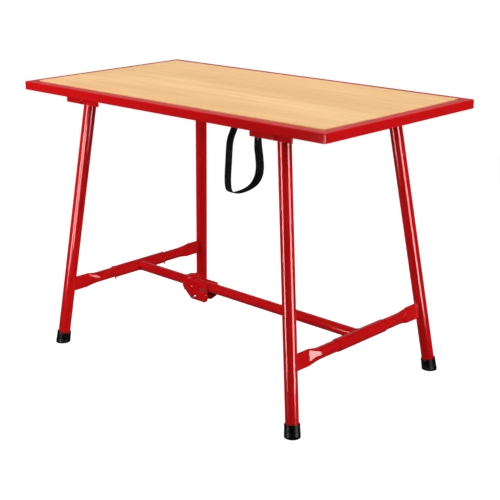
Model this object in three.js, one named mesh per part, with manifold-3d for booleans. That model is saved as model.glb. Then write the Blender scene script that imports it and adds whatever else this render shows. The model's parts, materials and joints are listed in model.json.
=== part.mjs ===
// Folding workbench: a framed wooden top on two splayed leg frames that fold under it,
// braced low down by a two-part stretcher with a latched knuckle.
// Millimetres, +Z up. The origin is on the floor under the middle of the top,
// +X runs along the long side and -Y to the front.

import * as THREE from 'three';
import { mergeVertices } from 'three/addons/utils/BufferGeometryUtils.js';
import Module from 'manifold-3d';

const wasm = await Module();
wasm.setup();

// Top: board and rails
const topLength = 1200;
const topWidth = 630;
const topHeight = 826;
const railFlange = 32;
const railDepth = 25.5;
const railWall = 3;
const railBend = 3.6;
const boardThickness = 19.7;
const boardProud = 2.5;
const tabLength = 44;
const tabReach = 20;
const longRailTabSpacing = 240;
const shortRailTabSpacing = 260;

// Hinge brackets
const bracketWall = 3;
const bracketInward = 84;
const bracketOutward = 64;
const earBelowPivot = 12.5;
const legHeadroom = 1;

// Leg frames
const pivotInset = 209;
const hipInset = 87.5;
const footFlareX = 103;
const footFlareY = 80.5;
const legRadius = 18.5;
const legWall = 2;
const legCrown = 2;
const legPlug = 24;
const barrelRadius = 14;
const barrelLength = 76.4;
const pivotBoltRadius = 5;

// Rubber feet
const footRadius = 22.4;
const footTaper = 1.2;
const footHeight = 36;
const footSole = 8;
const footLip = 2;

// Crossbars
const crossbarHeight = 190;
const barRadius = 16.5;
const barWall = 1.8;
const bladeHalfHeight = 23.6;
const bladeHalfThickness = 2.6;
const bladeCorner = 1.2;
const bladeInnerCorner = 0.5;
const bladeLength = 55;
const bladeTaper = 40;

// Sleeves, bushes and retaining pins
const sleeveLength = 200;
const sleeveWall = 0.9;
const bushWall = 0.8;
const bushFlange = 2.5;
const retainingPinRadius = 2.5;
const retainingPinHeadRadius = 4.5;
const retainingPinHead = 2.5;
const retainingPinTail = 7;
const retainingPinAngle = 60;

// Stretcher tubes and knuckle
const shortReach = 262;
const braceRadius = 15.5;
const braceWall = 1.8;
const braceFoldGap = 0.5;
const cheekWall = 3;
const cheekNose = 29;
const cheekDrop = 65;
const cheekHumpRadius = 10.5;
const cheekHumpFoot = 5;
const cheekHumpTurn = 135;
const cheekShoulder = 32;
const cheekSkirt = 9;
const frontCheekTail = 84;
const frontCheekHeel = [12, 12];
const rearCheekTail = 95;
const rearCheekHeel = [33, 25];
const kneeRivetRadius = 4;
const eyeRadius = 10;
const eyeSaddle = 20;
const eyeSaddleRise = 7;
const eyeBack = 27;
const eyeFront = 23;
const eyeDrop = 43.5;
const eyePlug = 30;
const eyeSideGap = 0.7;

// Latch, measured from the knuckle's pivot
const latchPivotX = 27;
const latchPivotDrop = 53;
const latchRivetRadius = 3.5;
const latchThickness = 8;
const latchArmTop = 43.5;
const latchArmBottom = 60;
const latchTail = 50;
const latchTailRadius = 6;
const clawHeight = 11;
const clawWidth = 8;
const catchX = 9;
const catchDrop = 37.5;
const catchRadius = 4;
const springWidth = 8;
const springThickness = 0.8;
const springSeatLength = 16;

// Strap: webbing hung in a loop from the underside of the board
const strapBesideBracket = 38;
const strapWidth = 24;
const strapThickness = 2;
const strapFrontInset = 65;
const strapAnchorSpacing = 78;
const strapAnchorLap = 13;
const strapRivetDrop = 58;
const strapRivetBack = 54;
const strapRivetRadius = 4;

// Fasteners
const screwRadius = 2.5;
const screwHeadRadius = 5.5;
const screwHeadHeight = 3;
const screwBite = 14;
const screwInset = 14;
const rivetHeadRise = 3;
const rivetHeadHeight = 3;
const boltHeadHeight = 3.2;
const boltHeadRise = 4.8;
const nutHeight = 8;
const boltTail = 4;

// Clearances
const seatGap = 0.3;
const pinGap = 0.5;
const turnGap = 0.25;

// Facets of round pieces
const tubeSides = 24;
const pinSides = 12;
const boreSides = 16;
const curveSteps = 8;
const bendSteps = 4;
const strapSteps = 66;

// Places worked out from the sizes above
const boardTop = topHeight + boardProud;
const boardUnderside = boardTop - boardThickness;
const bracketTop = boardUnderside - seatGap;
const pivotHeight = bracketTop - bracketWall - legHeadroom - legRadius;
const pivotSpread = topLength / 2 - pivotInset;
const hipSpread = topWidth / 2 - hipInset;
const tilt = Math.atan2(footFlareX, pivotHeight);
const frameReach = pivotHeight / Math.cos(tilt);
const splay = footFlareY / frameReach;
const legSlant = Math.hypot(1, splay);
const barDrop = (pivotHeight - crossbarHeight) / Math.cos(tilt);
const barX = pivotSpread + (pivotHeight - crossbarHeight) * Math.tan(tilt);
const bushInner = barRadius + turnGap;
const bushOuter = bushInner + bushWall;
const sleeveInner = bushOuter + turnGap;
const sleeveOuter = sleeveInner + sleeveWall;
const kneeRise = braceRadius + braceFoldGap;
const kneeX = -barX + shortReach;
const kneeHeight = crossbarHeight + kneeRise;
const strapX = pivotSpread - bracketInward - strapBesideBracket;
const strapFrontAnchor = -topWidth / 2 + strapFrontInset;
const strapRearAnchor = strapFrontAnchor + strapAnchorSpacing;
const cheekInner = braceRadius + seatGap;
const cheekOuter = cheekInner + cheekWall;

// Colours
const red = new THREE.MeshStandardMaterial({ color: 0xb81414, roughness: 0.32, metalness: 0.1 });
const wood = new THREE.MeshStandardMaterial({ color: 0xe6bd86, roughness: 0.6, metalness: 0 });
const rubber = new THREE.MeshStandardMaterial({ color: 0x161616, roughness: 0.75, metalness: 0 });
const webbing = new THREE.MeshStandardMaterial({ color: 0x14141a, roughness: 0.85, metalness: 0 });
const darkSteel = new THREE.MeshStandardMaterial({ color: 0x3a3a3c, roughness: 0.45, metalness: 0.8 });
const zinc = new THREE.MeshStandardMaterial({ color: 0xb4b6b8, roughness: 0.35, metalness: 0.9 });

// Solids from three.js geometry

function signedVolume(position, index) {
  const a = new THREE.Vector3();
  const b = new THREE.Vector3();
  const c = new THREE.Vector3();
  let sum = 0;
  for (let i = 0; i < index.length; i += 3) {
    a.fromBufferAttribute(position, index[i]);
    b.fromBufferAttribute(position, index[i + 1]);
    c.fromBufferAttribute(position, index[i + 2]);
    sum += a.dot(b.cross(c));
  }
  return sum;
}

function toSolid(geometry) {
  const bare = new THREE.BufferGeometry();
  bare.setAttribute('position', geometry.getAttribute('position'));
  bare.setIndex(geometry.getIndex());
  const merged = mergeVertices(bare, 1e-4);
  const index = [...merged.getIndex().array];
  const kept = [];
  for (let i = 0; i < index.length; i += 3) {
    const [p, q, r] = index.slice(i, i + 3);
    if (p !== q && q !== r && r !== p) kept.push(p, q, r);
  }
  if (signedVolume(merged.getAttribute('position'), kept) < 0) kept.reverse();
  return new wasm.Manifold(new wasm.Mesh({
    numProp: 3,
    vertProperties: new Float32Array(merged.getAttribute('position').array),
    triVerts: new Uint32Array(kept),
  }));
}

function toGeometry(solid) {
  const mesh = solid.getMesh();
  const geometry = new THREE.BufferGeometry();
  geometry.setAttribute('position', new THREE.BufferAttribute(mesh.vertProperties, 3));
  geometry.setIndex(new THREE.BufferAttribute(mesh.triVerts, 1));
  geometry.computeVertexNormals();
  return geometry;
}

function point(x, y, z) {
  return new THREE.Vector3(x, y, z);
}

function box(low, high) {
  const size = high.clone().sub(low);
  const geometry = new THREE.BoxGeometry(size.x, size.y, size.z);
  const middle = low.clone().add(high).multiplyScalar(0.5);
  geometry.translate(middle.x, middle.y, middle.z);
  return toSolid(geometry);
}

function rod(from, to, radius, sides = tubeSides) {
  const along = to.clone().sub(from);
  const geometry = new THREE.CylinderGeometry(radius, radius, along.length(), sides);
  const turn = new THREE.Quaternion().setFromUnitVectors(point(0, 1, 0), along.clone().normalize());
  const middle = from.clone().add(to).multiplyScalar(0.5);
  geometry.applyQuaternion(turn);
  geometry.translate(middle.x, middle.y, middle.z);
  return toSolid(geometry);
}

function rodY(x, z, from, to, radius, sides = tubeSides) {
  return rod(point(x, from, z), point(x, to, z), radius, sides);
}

// Closed loft through rings of equal count, with both ends filled from a flat outline
function loft(rings, outline) {
  const count = outline.length;
  const positions = rings.flat().flatMap((p) => [p.x, p.y, p.z]);
  const index = [];
  for (let r = 0; r < rings.length - 1; r += 1) {
    for (let i = 0; i < count; i += 1) {
      const a = r * count + i;
      const b = r * count + ((i + 1) % count);
      index.push(a, b, a + count, b, b + count, a + count);
    }
  }
  const last = (rings.length - 1) * count;
  const forward = THREE.ShapeUtils.area(outline) > 0;
  for (const face of THREE.ShapeUtils.triangulateShape(outline, [])) {
    const turned = THREE.ShapeUtils.area(face.map((i) => outline[i])) > 0;
    const [a, b, c] = turned === forward ? face : [...face].reverse();
    index.push(b, a, c, last + a, last + b, last + c);
  }
  const geometry = new THREE.BufferGeometry();
  geometry.setAttribute('position', new THREE.Float32BufferAttribute(positions, 3));
  geometry.setIndex(index);
  return toSolid(geometry);
}

function extrude(shape, depth, axisX, axisY) {
  const options = { depth, bevelEnabled: false, curveSegments: curveSteps };
  const geometry = new THREE.ExtrudeGeometry(shape, options);
  const axisZ = new THREE.Vector3().crossVectors(axisX, axisY);
  geometry.applyMatrix4(new THREE.Matrix4().makeBasis(axisX, axisY, axisZ));
  return toSolid(geometry);
}

// Plate with an outline in X and Z, from one Y to another
function plateXZ(shape, fromY, toY) {
  return extrude(shape, toY - fromY, point(1, 0, 0), point(0, 0, 1)).translate([0, toY, 0]);
}

// Band with an outline in Y and Z, from one X to another
function plateYZ(shape, fromX, toX) {
  return extrude(shape, toX - fromX, point(0, 1, 0), point(0, 0, 1)).translate([fromX, 0, 0]);
}

function addMesh(group, name, solid, material) {
  const mesh = new THREE.Mesh(toGeometry(solid), material);
  mesh.name = name;
  group.add(mesh);
}

const bench = new THREE.Group();
const sides = [{ name: 'left', sign: -1 }, { name: 'right', sign: 1 }];
const ends = [{ name: 'front', sign: -1 }, { name: 'rear', sign: 1 }];

// Screws that bite up into the board: the brackets' and the strap's
const bracketScrews = [];
for (const side of sides) {
  for (const end of ends) {
    const y = end.sign * (hipSpread - barrelLength / 2 + screwInset);
    for (const [place, offset] of [['inner', -bracketInward], ['outer', bracketOutward]]) {
      const x = side.sign * (pivotSpread + offset - Math.sign(offset) * screwInset);
      bracketScrews.push({ name: `${end.name}_${side.name}_${place}_bracket_screw`, x, y });
    }
  }
}
const strapScrews = [
  { name: 'strap_front_screw', x: strapX, y: strapFrontAnchor },
  { name: 'strap_rear_screw', x: strapX, y: strapRearAnchor },
];

function screw(seat) {
  const head = rod(point(0, 0, seat - screwHeadHeight), point(0, 0, seat), screwHeadRadius, pinSides);
  const tip = boardUnderside + screwBite;
  return head.add(rod(point(0, 0, seat - screwHeadHeight / 2), point(0, 0, tip), screwRadius, pinSides));
}

function screwHole(x, y, low, high) {
  return rod(point(x, y, low), point(x, y, high), screwRadius + pinGap, boreSides);
}

// Board, rebated all round so that its face stands just proud of the rails
function makeBoard() {
  const halfX = topLength / 2 - railWall - seatGap;
  const halfY = topWidth / 2 - railWall - seatGap;
  const faceX = topLength / 2 - railFlange - seatGap;
  const faceY = topWidth / 2 - railFlange - seatGap;
  const ledge = topHeight - railWall - seatGap;
  const base = box(point(-halfX, -halfY, boardUnderside), point(halfX, halfY, ledge));
  let board = base.add(box(point(-faceX, -faceY, boardUnderside), point(faceX, faceY, boardTop)));
  for (const { x, y } of [...bracketScrews, ...strapScrews]) {
    board = board.subtract(screwHole(x, y, boardUnderside - seatGap, boardUnderside + screwBite + seatGap));
  }
  return board;
}
addMesh(bench, 'work_board', makeBoard(), wood);

// Rails: mitred steel angle, with tabs that carry the board from below
function angleOutline() {
  const outline = [new THREE.Vector2(railFlange, topHeight)];
  outline.push(new THREE.Vector2(railFlange, topHeight - railWall));
  outline.push(new THREE.Vector2(railWall, topHeight - railWall));
  outline.push(new THREE.Vector2(railWall, topHeight - railDepth));
  outline.push(new THREE.Vector2(0, topHeight - railDepth));
  for (let i = 0; i <= bendSteps; i += 1) {
    const turn = Math.PI - (i / bendSteps) * (Math.PI / 2);
    const inward = railBend + railBend * Math.cos(turn);
    outline.push(new THREE.Vector2(inward, topHeight - railBend + railBend * Math.sin(turn)));
  }
  return outline;
}

function makeRail(length, width, tabOffsets) {
  const outline = angleOutline();
  const mitre = seatGap / 2;
  const ring = (sign) => outline.map(
    (p) => point(sign * (length / 2 - p.x - mitre), -width / 2 + p.x, p.y),
  );
  let rail = loft([ring(-1), ring(1)], outline);
  const tabTop = boardUnderside - seatGap;
  for (const offset of tabOffsets) {
    const low = point(offset - tabLength / 2, -width / 2 + railWall / 2, tabTop - railWall);
    const high = point(offset + tabLength / 2, -width / 2 + tabReach, tabTop);
    rail = rail.add(box(low, high));
  }
  return rail;
}

function addRail(name, length, width, tabOffsets, turn) {
  const group = new THREE.Group();
  group.rotation.z = turn;
  addMesh(group, name, makeRail(length, width, tabOffsets), red);
  bench.add(group);
}
const longTabs = [-longRailTabSpacing / 2, longRailTabSpacing / 2];
const shortTabs = [-shortRailTabSpacing / 2, shortRailTabSpacing / 2];
addRail('front_rail', topLength, topWidth, longTabs, 0);
addRail('right_rail', topWidth, topLength, shortTabs, Math.PI / 2);
addRail('rear_rail', topLength, topWidth, longTabs, Math.PI);
addRail('left_rail', topWidth, topLength, shortTabs, -Math.PI / 2);

// Hinge brackets: channels open below, with a stop plate that the standing leg leans on
const earInside = barrelLength / 2 + seatGap;
const earOutside = earInside + bracketWall;
const earBottom = pivotHeight - earBelowPivot;

function makeBracket(sideSign, endSign) {
  const inner = pivotSpread - bracketInward;
  const outer = pivotSpread + bracketOutward;
  const webBottom = bracketTop - bracketWall;
  let bracket = box(point(inner, -earOutside, webBottom), point(outer, earOutside, bracketTop));
  bracket = bracket.add(box(point(inner, earInside, earBottom), point(outer, earOutside, bracketTop)));
  bracket = bracket.add(box(point(inner, -earOutside, earBottom), point(outer, -earInside, bracketTop)));
  const legFace = pivotSpread + earBelowPivot * Math.tan(tilt) + legRadius / Math.cos(tilt);
  const stopFace = legFace + seatGap;
  const stopLow = point(stopFace, -earOutside, earBottom);
  bracket = bracket.add(box(stopLow, point(stopFace + bracketWall, earOutside, bracketTop)));
  bracket = bracket.subtract(
    rodY(pivotSpread, pivotHeight, -barrelLength, barrelLength, pivotBoltRadius + pinGap, boreSides),
  );
  bracket = sideSign < 0 ? bracket.rotate([0, 0, 180]) : bracket;
  bracket = bracket.translate([0, endSign * hipSpread, 0]);
  for (const { x, y } of bracketScrews) {
    bracket = bracket.subtract(screwHole(x, y, webBottom - seatGap, bracketTop + seatGap));
  }
  return bracket;
}

// Pivot bolts: the head outside, the nut towards the middle
function hexRod(x, z, from, to, acrossFlats) {
  return rodY(x, z, from, to, acrossFlats / Math.sqrt(3), 6);
}

function makePivotBolt() {
  const headFrom = earOutside + seatGap;
  const head = rodY(0, 0, headFrom, headFrom + boltHeadHeight, pivotBoltRadius + boltHeadRise);
  const tail = -earOutside - seatGap - nutHeight - boltTail;
  return head.add(rodY(0, 0, tail, headFrom + boltHeadHeight / 2, pivotBoltRadius, pinSides));
}

function makePivotNut() {
  const from = -earOutside - seatGap;
  const flats = 2 * (pivotBoltRadius + boltHeadRise) * Math.cos(Math.PI / 6);
  const nut = hexRod(0, 0, from - nutHeight, from, flats);
  const bore = pivotBoltRadius + seatGap;
  return nut.subtract(rodY(0, 0, from - 2 * nutHeight, from + nutHeight, bore, pinSides));
}

for (const side of sides) {
  for (const end of ends) {
    const corner = `${end.name}_${side.name}`;
    addMesh(bench, `${corner}_bracket`, makeBracket(side.sign, end.sign), red);
    const pivot = new THREE.Group();
    pivot.position.set(side.sign * pivotSpread, end.sign * hipSpread, pivotHeight);
    pivot.rotation.z = end.sign > 0 ? 0 : Math.PI;
    addMesh(pivot, `${corner}_pivot_bolt`, makePivotBolt(), red);
    addMesh(pivot, `${corner}_pivot_nut`, makePivotNut(), red);
    bench.add(pivot);
  }
}
for (const { name, x, y } of bracketScrews) {
  const seat = bracketTop - bracketWall - seatGap;
  addMesh(bench, name, screw(seat).translate([x, y, 0]), zinc);
}

// Leg frames, drawn flat about the pivot axis and then tilted outwards.
// In a frame's own axes the pivot is the origin and the legs run down to -Z.
function legPoint(end, down, offset = 0) {
  return point(0, end * (hipSpread + splay * down) + offset, -down);
}

function makeLeg(end) {
  const foot = legPoint(end, frameReach - footSole);
  const below = legPoint(end, frameReach);
  const barrel = [end * hipSpread - barrelLength / 2, end * hipSpread + barrelLength / 2];
  let leg = rod(legPoint(end, -legCrown), foot, legRadius);
  leg = leg.add(rodY(0, 0, barrel[0], barrel[1], barrelRadius));
  leg = leg.subtract(rod(legPoint(end, legPlug), below, legRadius - legWall));
  const bore = [barrel[0] - barrelRadius, barrel[1] + barrelRadius];
  return leg.subtract(rodY(0, 0, bore[0], bore[1], pivotBoltRadius + pinGap, boreSides));
}

// Rubber ferrule round the leg's end, cut level with the floor
function makeFoot(end, frameMatrix) {
  const socket = legRadius + pinGap;
  const below = footRadius;
  const profile = [
    [0, -below],
    [footRadius - footTaper / 2, -below],
    [footRadius, 0],
    [footRadius - footTaper, footHeight - footLip],
    [footRadius - footTaper - footLip / 2, footHeight],
    [socket, footHeight],
    [socket, footSole - seatGap],
    [0, footSole - seatGap],
  ].map(([r, h]) => new THREE.Vector2(r, h));
  const geometry = new THREE.LatheGeometry(profile, tubeSides);
  const upLeg = legPoint(end, 0).sub(legPoint(end, frameReach)).normalize();
  geometry.applyQuaternion(new THREE.Quaternion().setFromUnitVectors(point(0, 1, 0), upLeg));
  const sole = legPoint(end, frameReach);
  geometry.translate(sole.x, sole.y, sole.z);
  const ground = new THREE.BoxGeometry(topLength * 2, topWidth * 2, 2 * below);
  ground.translate(0, 0, -below);
  ground.applyMatrix4(frameMatrix.clone().invert());
  return toSolid(geometry).subtract(toSolid(ground));
}

// Ring of a tube pressed from round to flat: half height along Z, half thickness along X, corner radius
function pressedRing(halfHeight, halfThickness, corner, alongY) {
  const ring = [];
  for (let i = 0; i < tubeSides; i += 1) {
    const angle = ((i + 0.5) / tubeSides) * 2 * Math.PI;
    const cos = Math.cos(angle);
    const sin = Math.sin(angle);
    const x = Math.sign(cos) * (halfThickness - corner) + corner * cos;
    const z = Math.sign(sin) * (halfHeight - corner) + corner * sin;
    ring.push(point(x, alongY(z), z - barDrop));
  }
  return ring;
}

function barSurface(inset, overrun) {
  const round = barRadius - inset;
  const corner = Math.max(bladeCorner - inset, bladeInnerCorner);
  const blade = [bladeHalfHeight - inset, bladeHalfThickness - inset, corner];
  const legFace = (z) => hipSpread + splay * (barDrop - z) - legRadius * legSlant - seatGap + overrun;
  const bladeEnd = legFace(0) - overrun - bladeLength;
  const taperEnd = bladeEnd - bladeTaper;
  const rings = [
    pressedRing(...blade, (z) => -legFace(z)),
    pressedRing(...blade, () => -bladeEnd),
    pressedRing(round, round, round, () => -taperEnd),
    pressedRing(round, round, round, () => taperEnd),
    pressedRing(...blade, () => bladeEnd),
    pressedRing(...blade, (z) => legFace(z)),
  ];
  return loft(rings, rings[0].map((p) => new THREE.Vector2(p.x, p.z)));
}

const retainingPinY = sleeveLength / 2 + seatGap + bushFlange + seatGap + retainingPinHeadRadius;

function retainingPinDirection() {
  const angle = THREE.MathUtils.degToRad(retainingPinAngle);
  return point(-Math.cos(angle), 0, -Math.sin(angle));
}

function acrossBar(y, reach) {
  return retainingPinDirection().multiplyScalar(reach).add(point(0, y, -barDrop));
}

function makeCrossbar() {
  let bar = barSurface(0, 0).subtract(barSurface(barWall, barWall));
  for (const end of ends) {
    const y = end.sign * retainingPinY;
    const reach = 2 * barRadius;
    const hole = retainingPinRadius + seatGap;
    bar = bar.subtract(rod(acrossBar(y, -reach), acrossBar(y, reach), hole, boreSides));
  }
  return bar;
}

function makeRetainingPin(end) {
  const y = end * retainingPinY;
  const headSeat = -barRadius - seatGap;
  const headTop = headSeat - retainingPinHead;
  const tip = barRadius + retainingPinTail;
  const head = rod(acrossBar(y, headTop), acrossBar(y, headSeat), retainingPinHeadRadius, pinSides);
  const middle = headTop + retainingPinHead / 2;
  return head.add(rod(acrossBar(y, middle), acrossBar(y, tip), retainingPinRadius, pinSides));
}

function makeBush(end) {
  const inside = end * seatGap;
  const face = end * (sleeveLength / 2 + seatGap);
  const outside = face + end * bushFlange;
  const body = rodY(0, -barDrop, inside, outside, bushOuter);
  const flange = rodY(0, -barDrop, face, outside, sleeveOuter);
  const bore = rodY(0, -barDrop, -sleeveLength, sleeveLength, bushInner);
  return body.add(flange).subtract(bore);
}

function makeSleeve() {
  const half = sleeveLength / 2;
  const tube = rodY(0, -barDrop, -half, half, sleeveOuter);
  return tube.subtract(rodY(0, -barDrop, -sleeveLength, sleeveLength, sleeveInner));
}

for (const side of sides) {
  const half = new THREE.Group();
  half.rotation.z = side.sign > 0 ? 0 : Math.PI;
  const frame = new THREE.Group();
  frame.position.set(pivotSpread, 0, pivotHeight);
  frame.rotation.y = -tilt;
  frame.updateMatrix();
  for (const end of ends) {
    const drawn = side.sign * end.sign;
    const corner = `${end.name}_${side.name}`;
    addMesh(frame, `${corner}_leg`, makeLeg(drawn), red);
    addMesh(frame, `${corner}_foot`, makeFoot(drawn, frame.matrix), rubber);
    addMesh(frame, `${corner}_bush`, makeBush(drawn), red);
    addMesh(frame, `${corner}_retaining_pin`, makeRetainingPin(drawn), darkSteel);
  }
  addMesh(frame, `${side.name}_crossbar`, makeCrossbar(), red);
  addMesh(frame, `${side.name}_sleeve`, makeSleeve(), red);
  half.add(frame);
  bench.add(half);
}

// Stretcher tubes, each welded to its sleeve
function braceTube(from, to, sleeveX) {
  const start = point(from, 0, crossbarHeight);
  const finish = point(to, 0, crossbarHeight);
  const margin = point(braceRadius, 0, 0);
  const bore = rod(start.clone().sub(margin), finish.clone().add(margin), braceRadius - braceWall);
  const notch = rodY(sleeveX, crossbarHeight, -sleeveLength, sleeveLength, sleeveOuter + seatGap);
  return rod(start, finish, braceRadius).subtract(bore).subtract(notch);
}
const shortTubeEnd = kneeX - eyeBack - seatGap;
const longTubeEnd = kneeX + eyeFront + seatGap;
addMesh(bench, 'short_stretcher_tube', braceTube(-barX, shortTubeEnd, -barX), red);
addMesh(bench, 'long_stretcher_tube', braceTube(longTubeEnd, barX, barX), red);

// Knuckle, drawn about its pivot
const knuckle = new THREE.Group();
knuckle.position.set(kneeX, 0, kneeHeight);
bench.add(knuckle);

function cheekShape(tail, heel) {
  const top = -kneeRise + braceRadius - seatGap;
  const shape = new THREE.Shape();
  shape.moveTo(tail, top);
  shape.lineTo(cheekHumpRadius + cheekHumpFoot, top);
  shape.absarc(0, 0, cheekHumpRadius, 0, THREE.MathUtils.degToRad(cheekHumpTurn), false);
  shape.lineTo(-cheekNose, top);
  shape.lineTo(-cheekNose, -cheekShoulder);
  shape.lineTo(cheekSkirt, -cheekDrop);
  shape.lineTo(tail - heel[0], -cheekDrop);
  shape.lineTo(tail, -cheekDrop + heel[1]);
  return shape;
}

function makeCheek(sign) {
  const faces = [sign * cheekInner, sign * cheekOuter].sort((a, b) => a - b);
  const outline = sign < 0
    ? cheekShape(frontCheekTail, frontCheekHeel)
    : cheekShape(rearCheekTail, rearCheekHeel);
  let cheek = plateXZ(outline, faces[0], faces[1]);
  const hole = (x, z, radius) => rodY(x, z, -2 * cheekOuter, 2 * cheekOuter, radius + seatGap, boreSides);
  cheek = cheek.subtract(hole(0, 0, kneeRivetRadius));
  return cheek.subtract(hole(latchPivotX, -latchPivotDrop, latchRivetRadius));
}

function makeRivet(x, z, radius) {
  const seat = cheekOuter + seatGap;
  const full = seat + rivetHeadHeight;
  const head = radius + rivetHeadRise;
  const shank = rodY(x, z, -full, full, radius, pinSides);
  const front = rodY(x, z, -full, -seat, head, boreSides);
  return shank.add(front).add(rodY(x, z, seat, full, head, boreSides));
}

// Eye block plugged into the short tube, with a slot below for the latch and a catch bar across it
function makeEye() {
  const half = cheekInner - eyeSideGap;
  const slot = latchThickness / 2 + eyeSideGap;
  const plugRadius = braceRadius - braceWall - seatGap;
  let eye = rodY(0, 0, -half, half, eyeRadius);
  eye = eye.add(box(point(-eyeBack, -half, -eyeDrop), point(eyeFront, half, 0)));
  eye = eye.add(box(point(-eyeSaddle, -half, -eyeRadius), point(0, half, eyeSaddleRise)));
  eye = eye.add(rod(point(-eyeBack - eyePlug, 0, -kneeRise), point(0, 0, -kneeRise), plugRadius));
  const slotTop = -catchDrop + clawHeight;
  eye = eye.subtract(box(point(-eyeRadius, -slot, -2 * eyeDrop), point(2 * eyeFront, slot, slotTop)));
  eye = eye.subtract(rodY(0, 0, -2 * half, 2 * half, kneeRivetRadius + pinGap, boreSides));
  return eye.add(rodY(catchX, -catchDrop, -half, half, catchRadius, pinSides));
}

function latchShape() {
  const clawRight = catchX - catchRadius - seatGap;
  const clawTop = -latchArmTop + clawHeight;
  const tailTop = -latchArmTop - seatGap;
  const shape = new THREE.Shape();
  shape.moveTo(clawRight, -latchArmTop);
  shape.lineTo(clawRight, clawTop);
  shape.lineTo(clawRight - clawWidth, clawTop - clawWidth / 2);
  shape.lineTo(clawRight - clawWidth, -latchArmBottom);
  shape.lineTo(latchTail, -latchArmBottom);
  shape.absarc(latchTail, tailTop - latchTailRadius, latchTailRadius, -Math.PI / 2, Math.PI / 2, false);
  shape.lineTo(latchTail, tailTop);
  return shape;
}

function makeLatch() {
  const half = latchThickness / 2;
  const lever = plateXZ(latchShape(), -half, half);
  const bore = latchRivetRadius + pinGap;
  return lever.subtract(rodY(latchPivotX, -latchPivotDrop, -cheekInner, cheekInner, bore, boreSides));
}

// Leaf spring between the long tube and the latch's tail
function makeSpring() {
  const seat = -kneeRise - braceRadius - seatGap;
  const rest = -latchArmTop + springThickness;
  const bend = rearCheekTail - springThickness;
  const shape = new THREE.Shape();
  shape.moveTo(bend + springSeatLength, seat);
  shape.lineTo(bend, seat);
  shape.lineTo(latchTail - latchTailRadius, rest);
  shape.lineTo(latchTail - latchTailRadius, rest - springThickness);
  shape.lineTo(bend + springThickness, seat - springThickness);
  shape.lineTo(bend + springSeatLength, seat - springThickness);
  return plateXZ(shape, -springWidth / 2, springWidth / 2);
}

for (const end of ends) {
  addMesh(knuckle, `${end.name}_cheek_plate`, makeCheek(end.sign), red);
}
addMesh(knuckle, 'knuckle_rivet', makeRivet(0, 0, kneeRivetRadius), red);
addMesh(knuckle, 'latch_rivet', makeRivet(latchPivotX, -latchPivotDrop, latchRivetRadius), zinc);
addMesh(knuckle, 'knuckle_eye', makeEye(), red);
addMesh(knuckle, 'latch_lever', makeLatch(), red);
addMesh(knuckle, 'latch_spring', makeSpring(), zinc);

// Strap: both ends lie flat under the board, and the loop hangs between them.
// Each point is how far it lies behind the front anchor and how far below the board.
const strapTop = boardUnderside - seatGap - strapThickness / 2;
const strapRoute = [
  [strapAnchorLap, 0], [0, 0], [-15, 0.6], [-27, 6], [-37, 20], [-51, 49], [-57, 100], [-61, 150],
  [-56, 177], [-38, 187], [-13, 189], [14, 186], [38, 177], [54, 160], [60, 137], [58, 108],
  [54, 78], [54, 40], [55, 14], [60, 4], [70, 0.4],
];

function strapPath() {
  const points = strapRoute.map(
    ([back, down]) => new THREE.Vector2(strapFrontAnchor + back, strapTop - down),
  );
  points.push(new THREE.Vector2(strapRearAnchor, strapTop));
  points.push(new THREE.Vector2(strapRearAnchor + strapAnchorLap, strapTop));
  return new THREE.SplineCurve(points);
}

function strapOutline() {
  const path = strapPath();
  const near = [];
  const far = [];
  for (let i = 0; i <= strapSteps; i += 1) {
    const at = path.getPoint(i / strapSteps);
    const along = path.getTangent(i / strapSteps);
    const across = new THREE.Vector2(-along.y, along.x).multiplyScalar(strapThickness / 2);
    near.push(at.clone().add(across));
    far.push(at.clone().sub(across));
  }
  return new THREE.Shape([...near, ...far.reverse()]);
}

const strapRivetY = strapFrontAnchor + strapRivetBack;
const strapRivetZ = strapTop - strapRivetDrop;

function makeStrap() {
  let strap = plateYZ(strapOutline(), strapX - strapWidth / 2, strapX + strapWidth / 2);
  for (const { x, y } of strapScrews) {
    strap = strap.subtract(screwHole(x, y, strapTop - strapThickness, boardUnderside));
  }
  const hole = strapRivetRadius / 2 + seatGap;
  const from = point(strapX, strapRivetY - 2 * strapThickness, strapRivetZ);
  const to = point(strapX, strapRivetY + 2 * strapThickness, strapRivetZ);
  return strap.subtract(rod(from, to, hole, boreSides));
}

function makeStrapRivet() {
  const seat = strapThickness / 2 + seatGap;
  const full = seat + strapThickness / 2;
  const shank = rodY(0, 0, -full, full, strapRivetRadius / 2, pinSides);
  const front = rodY(0, 0, -full, -seat, strapRivetRadius, boreSides);
  return shank.add(front).add(rodY(0, 0, seat, full, strapRivetRadius, boreSides));
}
addMesh(bench, 'strap', makeStrap(), webbing);
addMesh(bench, 'strap_rivet', makeStrapRivet().translate([strapX, strapRivetY, strapRivetZ]), zinc);
for (const { name, x, y } of strapScrews) {
  const seat = strapTop - strapThickness / 2 - seatGap;
  addMesh(bench, name, screw(seat).translate([x, y, 0]), zinc);
}

export default bench;
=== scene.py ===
"""Looks of the folding workbench: finer forms, materials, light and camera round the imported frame."""
import json
import math

import bmesh
import bpy
from mathutils import Matrix, Vector

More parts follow.
